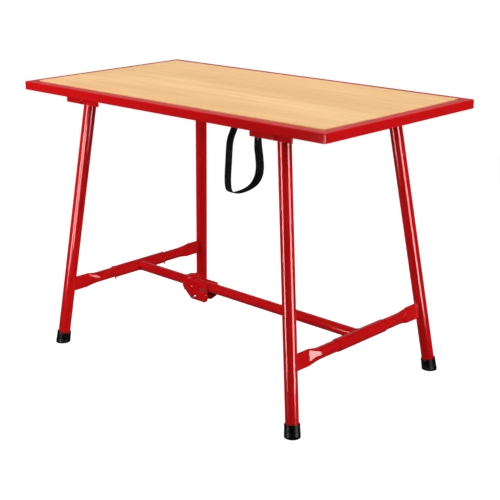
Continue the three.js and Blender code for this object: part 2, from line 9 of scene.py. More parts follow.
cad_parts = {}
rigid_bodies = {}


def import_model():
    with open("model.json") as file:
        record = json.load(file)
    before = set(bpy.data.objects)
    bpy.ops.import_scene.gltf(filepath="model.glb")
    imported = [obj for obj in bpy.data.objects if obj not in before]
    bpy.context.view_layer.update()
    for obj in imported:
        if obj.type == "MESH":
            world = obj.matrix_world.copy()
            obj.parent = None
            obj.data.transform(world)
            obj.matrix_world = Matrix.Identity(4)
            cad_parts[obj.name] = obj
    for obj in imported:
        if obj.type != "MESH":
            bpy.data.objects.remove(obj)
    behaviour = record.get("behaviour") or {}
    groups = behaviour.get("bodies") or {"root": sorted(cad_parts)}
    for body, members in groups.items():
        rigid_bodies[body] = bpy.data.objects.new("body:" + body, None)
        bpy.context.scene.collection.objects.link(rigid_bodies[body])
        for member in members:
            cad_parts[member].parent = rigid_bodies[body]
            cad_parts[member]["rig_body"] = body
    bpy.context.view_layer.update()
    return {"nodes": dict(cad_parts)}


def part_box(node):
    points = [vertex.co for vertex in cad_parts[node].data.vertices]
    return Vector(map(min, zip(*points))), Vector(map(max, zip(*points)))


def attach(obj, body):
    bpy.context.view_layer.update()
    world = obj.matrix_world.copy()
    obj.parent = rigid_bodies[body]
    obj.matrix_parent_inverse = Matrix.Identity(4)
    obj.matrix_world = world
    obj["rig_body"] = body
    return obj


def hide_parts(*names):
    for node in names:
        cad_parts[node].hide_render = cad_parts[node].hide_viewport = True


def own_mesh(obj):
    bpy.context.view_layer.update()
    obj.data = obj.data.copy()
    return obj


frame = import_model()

MM = 0.001

# Top, in millimetres, as in the part
TOP_LENGTH = 1200
TOP_WIDTH = 630
TOP_HEIGHT = 826
RAIL_FLANGE = 32
RAIL_DEPTH = 25.5
RAIL_WALL = 3
RAIL_BEND = 3.6
RAIL_INNER_BEND = 0.8
RAIL_TIP = 1.1
RAIL_CORNER = 3
CORNER_STEPS = 4
MITRE_GAP = 0.05
RING_GAP = 0.02
BOARD_UNDERSIDE = 808.8
BOARD_TOP = 828.5
BOARD_EASE = 0.5
BOARD_CHAMFER = 1.2
TAB_LENGTH = 44
TAB_REACH = 20
TAB_CORNER = 5
TAB_EDGE = 0.6
TAB_WELD = 1.6
LONG_TAB_SPACING = 240
SHORT_TAB_SPACING = 260

# Leg frames
PIVOT_X = 391
PIVOT_HEIGHT = 786
HIP_Y = 227.5
FOOT_FLARE_X = 103
FOOT_FLARE_Y = 80.5
LEG_RADIUS = 18.5
LEG_CROWN = 2
LEG_RIM = 1.2
BARREL_RADIUS = 14
BARREL_LENGTH = 76.4
BARREL_RIM = 0.8
BRACKET_WALL = 3
BRACKET_BEND = 4.2
BRACKET_TIP = 0.9
BRACKET_EDGE = 0.7
EAR_BELOW_PIVOT = 12.5

# Bolts, nuts and screws; a dome lists insets from its radius, or shares of it, with depths from its crown
CORE = 0.3
BOLT_RADIUS = 5
BOLT_HEAD = 3.2
BOLT_BEVEL = 0.9
BOLT_DOME = [(0.9, 0), (0.3, 0.25), (0, 0.9), (0, BOLT_HEAD)]
NUT_CORNER = 0.8
NUT_EDGE = 0.9
SCREW_SIDES = 24
SCREW_HEAD = 3
SCREW_SHANK = 2.5
SCREW_TIP = 2
SCREW_POINT = 0.4
SCREW_SOCKET = 2.2
SCREW_SOCKET_DEPTH = 1.6
SCREW_SOCKET_TAPER = 0.96
SCREW_DOME = [(0.62, 0), (0.84, 0.35), (0.96, 1.1), (1, 2), (1, SCREW_HEAD)]

# Rubber feet: insets from the radius, with heights above the sole or depths below the lip
FOOT_RADIUS = 22.4
FOOT_HEIGHT = 36
FOOT_SOLE = 8
FOOT_CORE = 0.5
FOOT_FIT = 0.15
FOOT_MOUTH = (0.9, 0.7)
FOOT_SIDE = [
    (0.4, -FOOT_RADIUS), (0.1, 2), (0, 6), (0.15, 7), (0.9, 7.5), (0.9, 8.3), (0.2, 8.8),
    (0.25, 11.5), (0.95, 12), (0.95, 12.8), (0.35, 13.3),
]
FOOT_LIP = [(0.9, 6), (1, 5), (0.55, 4.2), (0.4, 2.6), (0.7, 1.1), (1.6, 0.25)]

# Crossbars, sleeves, bushes and retaining pins; a pin's end lists insets with lengths back from its tip
CROSSBAR_HEIGHT = 190
BAR_RADIUS = 16.5
BLADE_HALF_HEIGHT = 23.6
BLADE_HALF_THICKNESS = 2.6
BLADE_CORNER = 1.2
BLADE_LENGTH = 55
BLADE_HOLD = 1
BLADE_SINK = 2.5
BLADE_WELD = 1.7
BLADE_WELD_SINK = 0.2
BLADE_WELD_CORNER = 1.5
BLADE_WELD_SPACING = 0.8
BLADE_TAPER = 40
TAPER_STEPS = 10
TAPER_SLOPE = 1.15
TAPER_STRAIGHT = 0.7
FACET_HALF_HEIGHT = 9.5
FACET_LENGTH = 14
SLEEVE_LENGTH = 200
SLEEVE_OUTER = 18.7
SLEEVE_WALL = 0.9
SLEEVE_RIM = 0.7
BUSH_INNER = 16.75
BUSH_OUTER = 17.55
BUSH_FLANGE = 2.5
PIN_Y = 107.6
PIN_ANGLE = 60
PIN_RADIUS = 2.5
PIN_HEAD = 2.5
PIN_HEAD_RADIUS = 4.5
PIN_DOME = [(0.55, 0.25), (0.88, 1), (1, 1.9), (1, PIN_HEAD)]
PIN_TAIL = 7
PIN_END = [(0, 3.4), (0.7, 3), (0.7, 2.2), (0, 1.8), (0.1, 0.8), (0.9, 0)]
PIN_COAT = 0.2
PIN_PAINT = [(0.5, -PIN_COAT), (0, 0.1), (-PIN_COAT, 0.7), (-PIN_COAT, PIN_HEAD)]

# Stretcher and knuckle; the cheeks and latch are drawn about the knuckle's pivot
SHORT_REACH = 262
BRACE_RADIUS = 15.5
BRACE_WALL = 1.8
BRACE_RIM = 0.5
BRACE_SINK = 0.2
BRACE_WELD = 1.9
BRACE_WELD_OUT = 0.4
BRACE_WELD_OFF = 0.3
BRACE_WELD_STEPS = 110
KNEE_RISE = 16
EYE_BACK = 27.3
EYE_FRONT = 23.3
EYE_EASE = 0.4
CHEEK_INNER = 15.8
CHEEK_OUTER = 18.8
CHEEK_EDGE = 0.8
CHEEK_NOSE = 29
CHEEK_TOP = -0.8
CHEEK_DROP = 65
CHEEK_HUMP = 10.5
CHEEK_HUMP_TURN = math.radians(135)
CHEEK_HUMP_STEPS = 10
CHEEK_HUMP_FOOT = 5
CHEEK_SHOULDER = 32
CHEEK_SKIRT = 9
CHEEK_WELD = 2.4
CHEEK_WELD_OFFSET = 14.2
CHEEK_WELD_HEIGHTS = (-7.2, -24.8)
CHEEK_WELD_RUN = (30, 48)
CHEEK_WELD_LAST = (60, 6)
FRONT_TAIL, FRONT_HEEL = 84, (12, 12)
REAR_TAIL, REAR_HEEL = 95, (33, 25)
RIVET_HEAD = 3
RIVET_CORE = 0.4
RIVET_DOME = [(0.5, 0.3), (0.8, 1), (0.97, 2), (1, RIVET_HEAD)]
LATCH_PIVOT = (27, -53)
LATCH_HALF = 4
LATCH_EDGE = 0.8
LATCH_OUTLINE = [
    (4.7, -43.5, 1.5), (4.7, -32.5, 1.2), (-3.3, -36.5, 2), (-3.3, -60, 5),
    (50, -60, 5.5), (56, -56, 5), (56, -47, 4), (50, -43.8, 3),
]
SPRING_SEAT = -31.8
SPRING_EDGE = 0.2
SPRING_OUTLINE = [
    (110.2, SPRING_SEAT, 0.2), (94.2, SPRING_SEAT, 1.5), (44, -42.7, 0.2),
    (44, -43.5, 0.2), (95, -32.6, 1.5), (110.2, -32.6, 0.2),
]

# Front cheek's details: two corners and their rounding, then reach into the plate from its outer face
SLOT = ((47, -28), (83, -22), 3)
SLOT_OVERCUT = (2, 0.5)
SLOT_EDGE = 0.01
# Dark catch in the slot: a locking tongue whose dark finish also stands in for the shade inside the slot
SHADE_CATCH = ((46, -29), (84, -21), 3.5)
SHADE_CATCH_REACH = (1.2, 2.9)
SHADE_CATCH_EDGE = 0.3
PAD = ((45, -60.5), (82, -35), 6)
PAD_REACH = (-2.4, 1.5)
PAD_EDGE = 2
PAD_EDGE_STEPS = 5
SPOT_PLACE = (13, -23)
SPOT_DOME = [(CORE, -1), (1.4, -0.8), (2.2, -0.2), (2.4, 0.5), (CORE, 0.5)]

# Strap: how far each point lies behind the front anchor and below the board
STRAP_X = 269
STRAP_FRONT_ANCHOR = -250
STRAP_WIDTH = 24
STRAP_THICKNESS = 2
STRAP_TOP = 807.5
STRAP_ROUTE = [
    (13, 0), (0, 0), (-15, 0.6), (-27, 6), (-37, 20), (-51, 49), (-57, 100), (-61, 150),
    (-56, 177), (-38, 187), (-13, 189), (14, 186), (38, 177), (54, 160), (60, 137), (58, 108),
    (54, 78), (54, 40), (55, 14), (60, 4), (70, 0.4),
]
STRAP_STEPS = 7
STRAP_RIBS = 10
STRAP_POINTS_PER_RIB = 4
STRAP_RIB_DEPTH = 0.16
STRAP_SELVEDGE = 0.45
STRAP_SELVEDGE_RISE = 6
STRAP_TWIST = math.radians(19)
STRAP_TWIST_FROM, STRAP_TWIST_FULL = 0.58, 0.70
STRAP_TWIST_EASES, STRAP_TWIST_TO = 0.80, 0.90
STRAP_RIVET_DOME = [(0.6, 0.15), (0.9, 0.5), (1, 1), (0.5, 1)]

# Seats, weld beads and the fineness of round forms
SEAT_GAP = 0.3
BEAD_PITCH = 2.4
BEAD_RIPPLE = 0.13
BEAD_END = 0.45
BEAD_SIDES = 10
SIDES = 56
SMALL_SIDES = 28

# Places worked out from the sizes above
TILT = math.atan2(FOOT_FLARE_X, PIVOT_HEIGHT)
FRAME_REACH = PIVOT_HEIGHT / math.cos(TILT)
SPLAY = FOOT_FLARE_Y / FRAME_REACH
LEG_SLANT = math.hypot(1, SPLAY)
BAR_DROP = (PIVOT_HEIGHT - CROSSBAR_HEIGHT) / math.cos(TILT)
BAR_X = PIVOT_X + (PIVOT_HEIGHT - CROSSBAR_HEIGHT) * math.tan(TILT)
KNEE = Vector((-BAR_X + SHORT_REACH, 0, CROSSBAR_HEIGHT + KNEE_RISE))
CORNERS = [(end, side) for side in ("left", "right") for end in ("front", "rear")]
SIGN = {"left": -1, "right": 1, "front": -1, "rear": 1}


# Materials

def srgb(red, green, blue):
    """Linear colour from 0 to 255 display values."""
    shares = [value / 255 for value in (red, green, blue)]
    return tuple(s / 12.92 if s <= 0.04045 else ((s + 0.055) / 1.055) ** 2.4 for s in shares) + (1,)


class Nodes:
    """Node tree of a material or of the world, under construction."""

    def __init__(self, owner):
        owner.use_nodes = True
        self.tree = owner.node_tree
        self.tree.nodes.clear()

    def link(self, source, target):
        self.tree.links.new(source, target)

    def node(self, kind, inputs=(), **settings):
        """New node whose inputs are each linked to a socket or set to a constant."""
        made = self.tree.nodes.new(kind)
        for name, value in settings.items():
            setattr(made, name, value)
        for name, value in dict(inputs).items():
            if isinstance(value, bpy.types.NodeSocket):
                self.link(value, made.inputs[name])
            else:
                made.inputs[name].default_value = value
        return made

    def maths(self, operation, *values):
        return self.node("ShaderNodeMath", enumerate(values), operation=operation).outputs["Value"]

    def vector_maths(self, operation, *values):
        """Number that comes of vectors, such as a length or a dot product."""
        return self.node("ShaderNodeVectorMath", enumerate(values), operation=operation).outputs["Value"]

    def ranged(self, source, low, high):
        """0 below low and 1 above high."""
        inputs = {"Value": source, "From Min": low, "From Max": high}
        return self.node("ShaderNodeMapRange", inputs).outputs["Result"]

    def ray_share(self, *rays):
        """1 for rays of these kinds."""
        outputs = self.node("ShaderNodeLightPath").outputs
        share = outputs[rays[0]]
        for name in rays[1:]:
            share = self.maths("MAXIMUM", share, outputs[name])
        return share

    def glow(self, kind, strength):
        """White light of a background or an emission."""
        return self.node(kind, {"Color": (1, 1, 1, 1), "Strength": strength}).outputs[0]

    def grey(self, level):
        return self.node("ShaderNodeBsdfDiffuse", {"Color": (level, level, level, 1)}).outputs[0]

    def mixed(self, share, first, second):
        return self.node("ShaderNodeMixShader", {0: share, 1: first, 2: second}).outputs[0]


class Finish(Nodes):
    """A procedural material round one Principled shader."""

    def __init__(self, name, constants):
        self.material = bpy.data.materials.new(name)
        super().__init__(self.material)
        self.shader = self.node("ShaderNodeBsdfPrincipled", constants)
        self.node("ShaderNodeOutputMaterial", {"Surface": self.shader.outputs["BSDF"]})
        self.space = self.node("ShaderNodeTexCoord").outputs["Object"]

    def height(self):
        """Height above the floor, in metres."""
        return self.node("ShaderNodeSeparateXYZ", {0: self.space}).outputs["Z"]

    def noise(self, scale, detail=3, roughness=0.5, distortion=0, space=None):
        """Noise whose scale is one number, or three for a stretched grain."""
        vector = space or self.space
        if isinstance(scale, tuple):
            vector = self.node("ShaderNodeMapping", {"Scale": scale, "Vector": vector}).outputs["Vector"]
            scale = 1
        made = self.node("ShaderNodeTexNoise", {
            "Vector": vector, "Scale": scale, "Detail": detail,
            "Roughness": roughness, "Distortion": distortion,
        })
        return made.outputs["Fac"]

    def ramp(self, source, stops):
        """Colours or greys over a source; each stop is a place and a colour, or a place and a number."""
        made = self.node("ShaderNodeValToRGB", {"Fac": source})
        elements = made.color_ramp.elements
        while len(elements) < len(stops):
            elements.new(0.5)
        for element, (place, value) in zip(elements, stops):
            element.position = place
            element.color = value if isinstance(value, tuple) else (value, value, value, 1)
        return made.outputs["Color"]

    def mix(self, share, first, second):
        return self.node("ShaderNodeMix", {0: share, 6: first, 7: second}, data_type="RGBA").outputs[2]

    def edges(self, radius):
        """White along edges that are rounder than their faces, within a radius in metres."""
        bevel = self.node("ShaderNodeBevel", {"Radius": radius}, samples=6).outputs["Normal"]
        flat = self.node("ShaderNodeNewGeometry").outputs["Normal"]
        bent = self.maths("SUBTRACT", 1, self.vector_maths("DOT_PRODUCT", bevel, flat))
        return self.ramp(bent, [(0.02, 0.0), (0.25, 1.0)])

    def colour(self, source):
        self.link(source, self.shader.inputs["Base Color"])

    def roughness(self, source, low, high):
        self.link(self.ramp(source, [(0.25, low), (0.75, high)]), self.shader.inputs["Roughness"])

    def bump(self, *layers):
        """Bump from layers of (height, depth in metres, strength), the finest last."""
        normal = {}
        for height, depth, strength in layers:
            inputs = {"Height": height, "Distance": depth, "Strength": strength, **normal}
            normal = {"Normal": self.node("ShaderNodeBump", inputs).outputs["Normal"]}
        self.link(normal["Normal"], self.shader.inputs["Normal"])


def make_red_paint():
    finish = Finish("red_paint", {"Specular IOR Level": 0.28})
    cloud = finish.noise(5, 3)
    pigment = finish.noise(700, 2)
    peel = finish.noise(260, 2, 0.4)
    scuff = finish.noise((40, 40, 900), 3, 0.7)
    tone = finish.ramp(cloud, [(0.3, srgb(200, 13, 17)), (0.7, srgb(210, 15, 19))])
    tone = finish.mix(finish.ramp(pigment, [(0.3, 0.0), (0.8, 0.16)]), tone, srgb(160, 6, 9))
    wear = finish.ramp(finish.noise(90, 4), [(0.45, 0.0), (0.7, 0.5)])
    tone = finish.mix(finish.maths("MULTIPLY", finish.edges(0.0012), wear), tone, srgb(214, 60, 54))
    finish.colour(tone)
    finish.roughness(finish.mix(0.5, cloud, scuff), 0.10, 0.20)
    finish.bump((peel, 0.0003, 0.05))
    return finish.material


def make_wood():
    finish = Finish("wood", {"Specular IOR Level": 0.12})
    bend = finish.noise((0.9, 3, 3), 2)
    streak = finish.noise((2.4, 44, 44), 4, 0.55, 0.5)
    fibre = finish.noise((9, 420, 420), 4, 0.65)
    ray = finish.noise((120, 760, 760), 1)
    pore = finish.noise((26, 1300, 1300), 2)
    tone = finish.ramp(
        finish.mix(0.35, streak, bend),
        [(0.33, srgb(239, 190, 132)), (0.5, srgb(247, 203, 148)), (0.66, srgb(253, 214, 163))],
    )
    patch = finish.noise((1.5, 6.5, 6.5), 2, 0.5, 0.4)
    tone = finish.mix(finish.ramp(patch, [(0.38, 0.6), (0.58, 0.0)]), tone, srgb(226, 180, 124))
    tone = finish.mix(finish.ramp(fibre, [(0.35, 0.0), (0.7, 0.2)]), tone, srgb(228, 174, 114))
    tone = finish.mix(finish.ramp(ray, [(0.62, 0.0), (0.70, 0.25)]), tone, srgb(200, 142, 90))
    tone = finish.mix(finish.ramp(pore, [(0.66, 0.0), (0.74, 0.22)]), tone, srgb(186, 130, 84))
    # Dark brown band on the board's side, from under the rail's flange up to the face's chamfer: partly the
    # cut edge's own darker tone, partly painted shade of that vertical face and the gap beside it
    rail, face, side_shade_share = TOP_HEIGHT * MM, BOARD_TOP * MM, 0.85
    side = finish.ramp(finish.height(), [
        (rail - 0.006, 0.0), (rail - 0.003, side_shade_share), (face - 0.0014, side_shade_share), (face - 0.0009, 0.0),
    ])
    finish.colour(finish.mix(side, tone, srgb(168, 92, 62)))
    finish.roughness(fibre, 0.42, 0.58)
    finish.bump((streak, 0.0006, 0.08), (fibre, 0.0002, 0.18))
    return finish.material


def make_rubber():
    finish = Finish("rubber", {"Specular IOR Level": 0.14})
    grain = finish.noise(1400, 3)
    dust = finish.noise(60, 5, 0.7)
    low = finish.ramp(finish.height(), [(0.0, 1.0), (0.016, 0.0)])
    tone = finish.ramp(grain, [(0.3, srgb(4, 4, 5)), (0.7, srgb(9, 9, 10))])
    dusty = finish.maths("MULTIPLY", low, finish.ramp(dust, [(0.45, 0.0), (0.75, 0.45)]))
    finish.colour(finish.mix(dusty, tone, srgb(30, 29, 28)))
    finish.roughness(dust, 0.24, 0.40)
    finish.bump((grain, 0.0002, 0.35))
    return finish.material


def make_webbing():
    constants = {"Specular IOR Level": 0.05, "Sheen Weight": 0.02, "Sheen Roughness": 0.5}
    finish = Finish("webbing", constants)
    route = finish.node("ShaderNodeUVMap", uv_map="route").outputs["UV"]
    threads = {
        "Vector": route, "Scale": 1, "Brick Width": 2.6, "Row Height": 1.15, "Mortar Size": 0.22,
        "Mortar Smooth": 1, "Color1": srgb(9, 9, 12), "Color2": srgb(5, 5, 8), "Mortar": srgb(3, 3, 4),
    }
    weave = finish.node("ShaderNodeTexBrick", threads, offset=0.5)
    fuzz = finish.noise((3, 14, 1), 3, 0.6, 0, route)
    worn = finish.ramp(fuzz, [(0.35, 0.0), (0.8, 0.4)])
    finish.colour(finish.mix(worn, weave.outputs["Color"], srgb(14, 14, 18)))
    finish.roughness(fuzz, 0.62, 0.85)
    raised = finish.maths("SUBTRACT", 1, weave.outputs["Fac"])
    finish.bump((raised, 0.0004, 0.7), (fuzz, 0.0001, 0.4))
    return finish.material


def make_zinc():
    finish = Finish("zinc", {"Metallic": 1})
    spangle = finish.noise(380, 2)
    smear = finish.noise((60, 900, 60), 3)
    tone = finish.ramp(spangle, [(0.3, srgb(128, 128, 130)), (0.7, srgb(164, 164, 166))])
    finish.colour(finish.mix(finish.edges(0.0006), tone, srgb(212, 211, 209)))
    finish.roughness(smear, 0.26, 0.40)
    finish.bump((spangle, 0.0001, 0.15))
    return finish.material


def make_dark_steel():
    finish = Finish("dark_steel", {"Metallic": 0.6, "Specular IOR Level": 0.3})
    oxide = finish.noise(420, 4, 0.6)
    tone = finish.ramp(oxide, [(0.3, srgb(44, 43, 44)), (0.75, srgb(66, 64, 64))])
    finish.colour(finish.mix(finish.edges(0.0008), tone, srgb(104, 100, 98)))
    finish.roughness(oxide, 0.42, 0.62)
    finish.bump((oxide, 0.0001, 0.25))
    return finish.material


MATERIALS = {
    "red_paint": make_red_paint(),
    "wood": make_wood(),
    "rubber": make_rubber(),
    "webbing": make_webbing(),
    "zinc": make_zinc(),
    "dark_steel": make_dark_steel(),
}


# Forms: each shell is a list of points in millimetres and a list of faces

def turns(count, offset=0):
    """Evenly spaced angles all round."""
    return [2 * math.pi * (i + offset) / count for i in range(count)]


def quarter_round(radius, steps=3):
    """Insets and heights of a rounded edge."""
    angles = [math.pi / 2 * s / steps for s in range(steps + 1)]
    return [(radius * (1 - math.sin(a)), radius * (1 - math.cos(a))) for a in angles]


def mirrored(profile, length):
    """Profile of both ends from that of one."""
    return profile + [(radius, length - height) for radius, height in reversed(profile)]


def loft(rings, loop=False):
    """Skin through rings of equal count, either joined into a loop or with both ends filled."""
    count = len(rings[0])
    points = [Vector(p) for ring in rings for p in ring]
    faces = []
    spans = len(rings) if loop else len(rings) - 1
    for r in range(spans):
        a, b = r * count, ((r + 1) % len(rings)) * count
        for i in range(count):
            j = (i + 1) % count
            faces.append((a + i, a + j, b + j, b + i))
    if not loop:
        faces.append(tuple(reversed(range(count))))
        faces.append(tuple(range((len(rings) - 1) * count, len(rings) * count)))
    return points, faces


def moved(shell, matrix):
    points, faces = shell
    return [matrix @ p for p in points], faces


def lathe(profile, start, axis, sides=SIDES, loop=False):
    """Turned form: (radius, height) pairs about an axis from a start point."""
    turn = Vector((0, 0, 1)).rotation_difference(Vector(axis)).to_matrix()
    rings = []
    for radius, height in profile:
        ring = [Vector((radius * math.cos(a), radius * math.sin(a), height)) for a in turns(sides)]
        rings.append([Vector(start) + turn @ p for p in ring])
    return loft(rings, loop)


def fillet(corners, steps=4):
    """Closed outline whose corners, each (x, y, radius), are rounded."""
    outline = []
    for i, (x, y, radius) in enumerate(corners):
        here = Vector((x, y))
        before = Vector(corners[i - 1][:2]) - here
        after = Vector(corners[(i + 1) % len(corners)][:2]) - here
        if radius <= 0:
            outline.append(here)
            continue
        half = before.angle(after) / 2
        setback = min(radius / math.tan(half), 0.49 * before.length, 0.49 * after.length)
        middle = (before.normalized() + after.normalized()).normalized()
        centre = here + middle * (setback / math.cos(half))
        first = here + before.normalized() * setback - centre
        last = here + after.normalized() * setback - centre
        begin = math.atan2(first.y, first.x)
        sweep = math.atan2(first.cross(last), first.dot(last))
        for s in range(steps + 1):
            angle = begin + sweep * s / steps
            outline.append(centre + first.length * Vector((math.cos(angle), math.sin(angle))))
    return outline


def inset(outline, distance):
    """Outline moved to its left by a distance, which is inwards where it runs anticlockwise."""
    result = []
    for i, p in enumerate(outline):
        a = (p - outline[i - 1]).normalized()
        b = (outline[(i + 1) % len(outline)] - p).normalized()
        normal = Vector((-a.y - b.y, a.x + b.x)).normalized()
        stretch = max(0.5, normal.dot(Vector((-a.y, a.x))))
        result.append(p + normal * (distance / stretch))
    return result


def prism(outline, low, high, edge, place, steps=3):
    """Plate with rounded edges. place(u, v, h) puts an outline's point at a height into space."""
    area = sum(outline[i - 1].cross(p) for i, p in enumerate(outline))
    outline = outline if area > 0 else outline[::-1]
    levels = [(low + height, depth) for depth, height in quarter_round(edge, steps)]
    levels += [(low + high - height, depth) for height, depth in reversed(levels)]
    return loft([[place(p.x, p.y, height) for p in inset(outline, depth)] for height, depth in levels])


def rod(start, end, radius, rim):
    """Solid bar with rounded rims."""
    along = Vector(end) - Vector(start)
    profile = [(radius - depth, height) for depth, height in quarter_round(rim)]
    return lathe(mirrored(profile, along.length), start, along)


def bead(path, radius, loop=False):
    """Weld bead along a path of points, with the ripples of a weld run by hand."""
    count = len(path)
    rings = []
    travelled = 0
    normal = None
    for i, p in enumerate(path):
        behind = path[i - 1] if loop or i else p
        ahead = path[(i + 1) % count] if loop or i + 1 < count else p
        along = (ahead - behind).normalized()
        normal = along.orthogonal() if normal is None else normal - along * normal.dot(along)
        normal.normalize()
        across = along.cross(normal)
        travelled += (p - path[i - 1]).length if i else 0
        ends = BEAD_END if not loop and i in (0, count - 1) else 1
        swell = radius * ends * (1 + BEAD_RIPPLE * math.sin(2 * math.pi * travelled / BEAD_PITCH))
        rings.append([p + swell * (math.cos(a) * normal + math.sin(a) * across) for a in turns(BEAD_SIDES)])
    return loft(rings, loop)


def line(start, end, spacing=0.6):
    start, end = Vector(start), Vector(end)
    steps = max(2, round((end - start).length / spacing))
    return [start.lerp(end, i / steps) for i in range(steps + 1)]


def new_mesh(name, shells):
    """Mesh of closed shells, in metres."""
    points, faces = [], []
    for shell_points, shell_faces in shells:
        base = len(points)
        points += [p * MM for p in shell_points]
        faces += [[base + i for i in face] for face in shell_faces]
    mesh = bpy.data.meshes.new(name)
    mesh.from_pydata(points, [], faces)
    work = bmesh.new()
    work.from_mesh(mesh)
    bmesh.ops.recalc_face_normals(work, faces=work.faces)
    work.to_mesh(mesh)
    work.free()
    return mesh


def pierced(name, mesh, holes):
    """Mesh with the space of closed shells taken out."""
    scene = bpy.context.scene
    whole = bpy.data.objects.new(name, mesh)
    tool = bpy.data.objects.new(name + "_hole", new_mesh(name + "_hole", holes))
    for item in (whole, tool):
        scene.collection.objects.link(item)
    cut = whole.modifiers.new("hole", "BOOLEAN")
    cut.operation = "DIFFERENCE"
    cut.solver = "EXACT"
    cut.object = tool
    graph = bpy.context.evaluated_depsgraph_get()
    result = bpy.data.meshes.new_from_object(whole.evaluated_get(graph))
    for item in (whole, tool):
        spare = item.data
        bpy.data.objects.remove(item)
        bpy.data.meshes.remove(spare)
    result.name = name
    return result


def add_on(name, shells, finish, node, crisp=True, holes=()):
    """Piece that moves with a CAD node's body. Crisp pieces keep their flat faces flat."""
    mesh = new_mesh(name, shells)
    if holes:
        mesh = pierced(name, mesh, holes)
    mesh.shade_smooth()
    mesh.materials.append(MATERIALS[finish])
    piece = bpy.data.objects.new(name, mesh)
    bpy.context.scene.collection.objects.link(piece)
    if crisp:
        piece.modifiers.new("flat_faces", "WEIGHTED_NORMAL").weight = 80
    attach(piece, frame["nodes"][node]["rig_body"])
    return piece


def stand_in(node, shells, finish, crisp=True, holes=()):
    """Finer form that takes the place of a CAD node."""
    piece = add_on(node + "_form", shells, finish, node, crisp, holes)
    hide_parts(node)
    return piece


def node_box(node):
    """Lowest corner, highest corner and middle of a CAD node, in millimetres."""
    low, high = (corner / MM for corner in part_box(node))
    return low, high, (low + high) / 2


# Camera, above the front right corner
CAMERA_PLACE = (2.3086, -2.3373, 1.3706)
CAMERA_YAW = math.radians(-44.07)
CAMERA_PITCH = math.radians(17.43)
CAMERA_ROLL = math.radians(0.475)
CAMERA_LENS = 82.07
CAMERA_SENSOR = 36


def make_camera():
    data = bpy.data.cameras.new("camera")
    data.lens = CAMERA_LENS
    data.sensor_width = CAMERA_SENSOR
    camera = bpy.data.objects.new("camera", data)
    forward = Vector((
        math.sin(CAMERA_YAW) * math.cos(CAMERA_PITCH),
        math.cos(CAMERA_YAW) * math.cos(CAMERA_PITCH),
        -math.sin(CAMERA_PITCH),
    ))
    level = Vector((math.cos(CAMERA_YAW), -math.sin(CAMERA_YAW), 0))
    down = forward.cross(level)
    right = math.cos(CAMERA_ROLL) * level + math.sin(CAMERA_ROLL) * down
    up = math.sin(CAMERA_ROLL) * level - math.cos(CAMERA_ROLL) * down
    turn = Matrix((right, up, -forward)).transposed()
    camera.matrix_world = Matrix.Translation(CAMERA_PLACE) @ turn.to_4x4()
    bpy.context.scene.collection.objects.link(camera)
    bpy.context.scene.camera = camera


make_camera()


# Strap: ribbed webbing in a loop

def strap_twist(share):
    """Turn of the webbing about its own line; the rear strand hangs slightly askew."""
    rise = (share - STRAP_TWIST_FROM) / (STRAP_TWIST_FULL - STRAP_TWIST_FROM)
    fall = (STRAP_TWIST_TO - share) / (STRAP_TWIST_TO - STRAP_TWIST_EASES)
    ease = max(0, min(1, rise, fall))
    return STRAP_TWIST * ease * ease * (3 - 2 * ease)


def strap_centreline():
    """Smooth line through the route's points, in Y and Z."""
    route = [Vector((STRAP_FRONT_ANCHOR + back, STRAP_TOP - down)) for back, down in STRAP_ROUTE]
    padded = [route[0], *route, route[-1]]
    samples = []
    for a, b, c, d in zip(padded, padded[1:], padded[2:], padded[3:]):
        for s in range(STRAP_STEPS):
            t = s / STRAP_STEPS
            pull, drift = (c - a) * 0.5, (d - b) * 0.5
            cubic = (2 * b - 2 * c + pull + drift) * t ** 3 + (3 * c - 3 * b - 2 * pull - drift) * t ** 2
            samples.append(b + pull * t + cubic)
    return samples + [route[-1]]


def strap_section():
    """Half thickness over the width, ribbed along its length and thin at the selvedges."""
    count = STRAP_RIBS * STRAP_POINTS_PER_RIB
    section = []
    for i in range(count + 1):
        share = i / count
        rib = abs(math.sin(math.pi * STRAP_RIBS * share))
        edge = min(1, STRAP_SELVEDGE_RISE * min(share, 1 - share) + STRAP_SELVEDGE)
        half = edge * (STRAP_THICKNESS / 2 - STRAP_RIB_DEPTH * (1 - rib))
        section.append(((share - 0.5) * STRAP_WIDTH, half))
    return section


def make_strap():
    centre = strap_centreline()
    section = strap_section()
    lengths = [0]
    for p, q in zip(centre, centre[1:]):
        lengths.append(lengths[-1] + (q - p).length)
    around = section + [(x, -half) for x, half in reversed(section)]
    rings = []
    for i, p in enumerate(centre):
        along = (centre[min(i + 1, len(centre) - 1)] - centre[max(i - 1, 0)]).normalized()
        across = Vector((-along.y, along.x))
        twist = strap_twist(lengths[i] / lengths[-1])
        cosine, sine = math.cos(twist), math.sin(twist)
        ring = []
        for x, half in around:
            q = p + across * (half * cosine - x * sine)
            ring.append(Vector((STRAP_X + x * cosine + half * sine, q.x, q.y)))
        rings.append(ring)
    piece = stand_in("strap", [loft(rings)], "webbing", crisp=False)
    route = piece.data.uv_layers.new(name="route")
    for loop in piece.data.loops:
        ring, place = divmod(loop.vertex_index, len(around))
        route.data[loop.index].uv = (lengths[ring], around[place][0])
    return piece, lengths[-1]


strap, strap_length = make_strap()


# Top

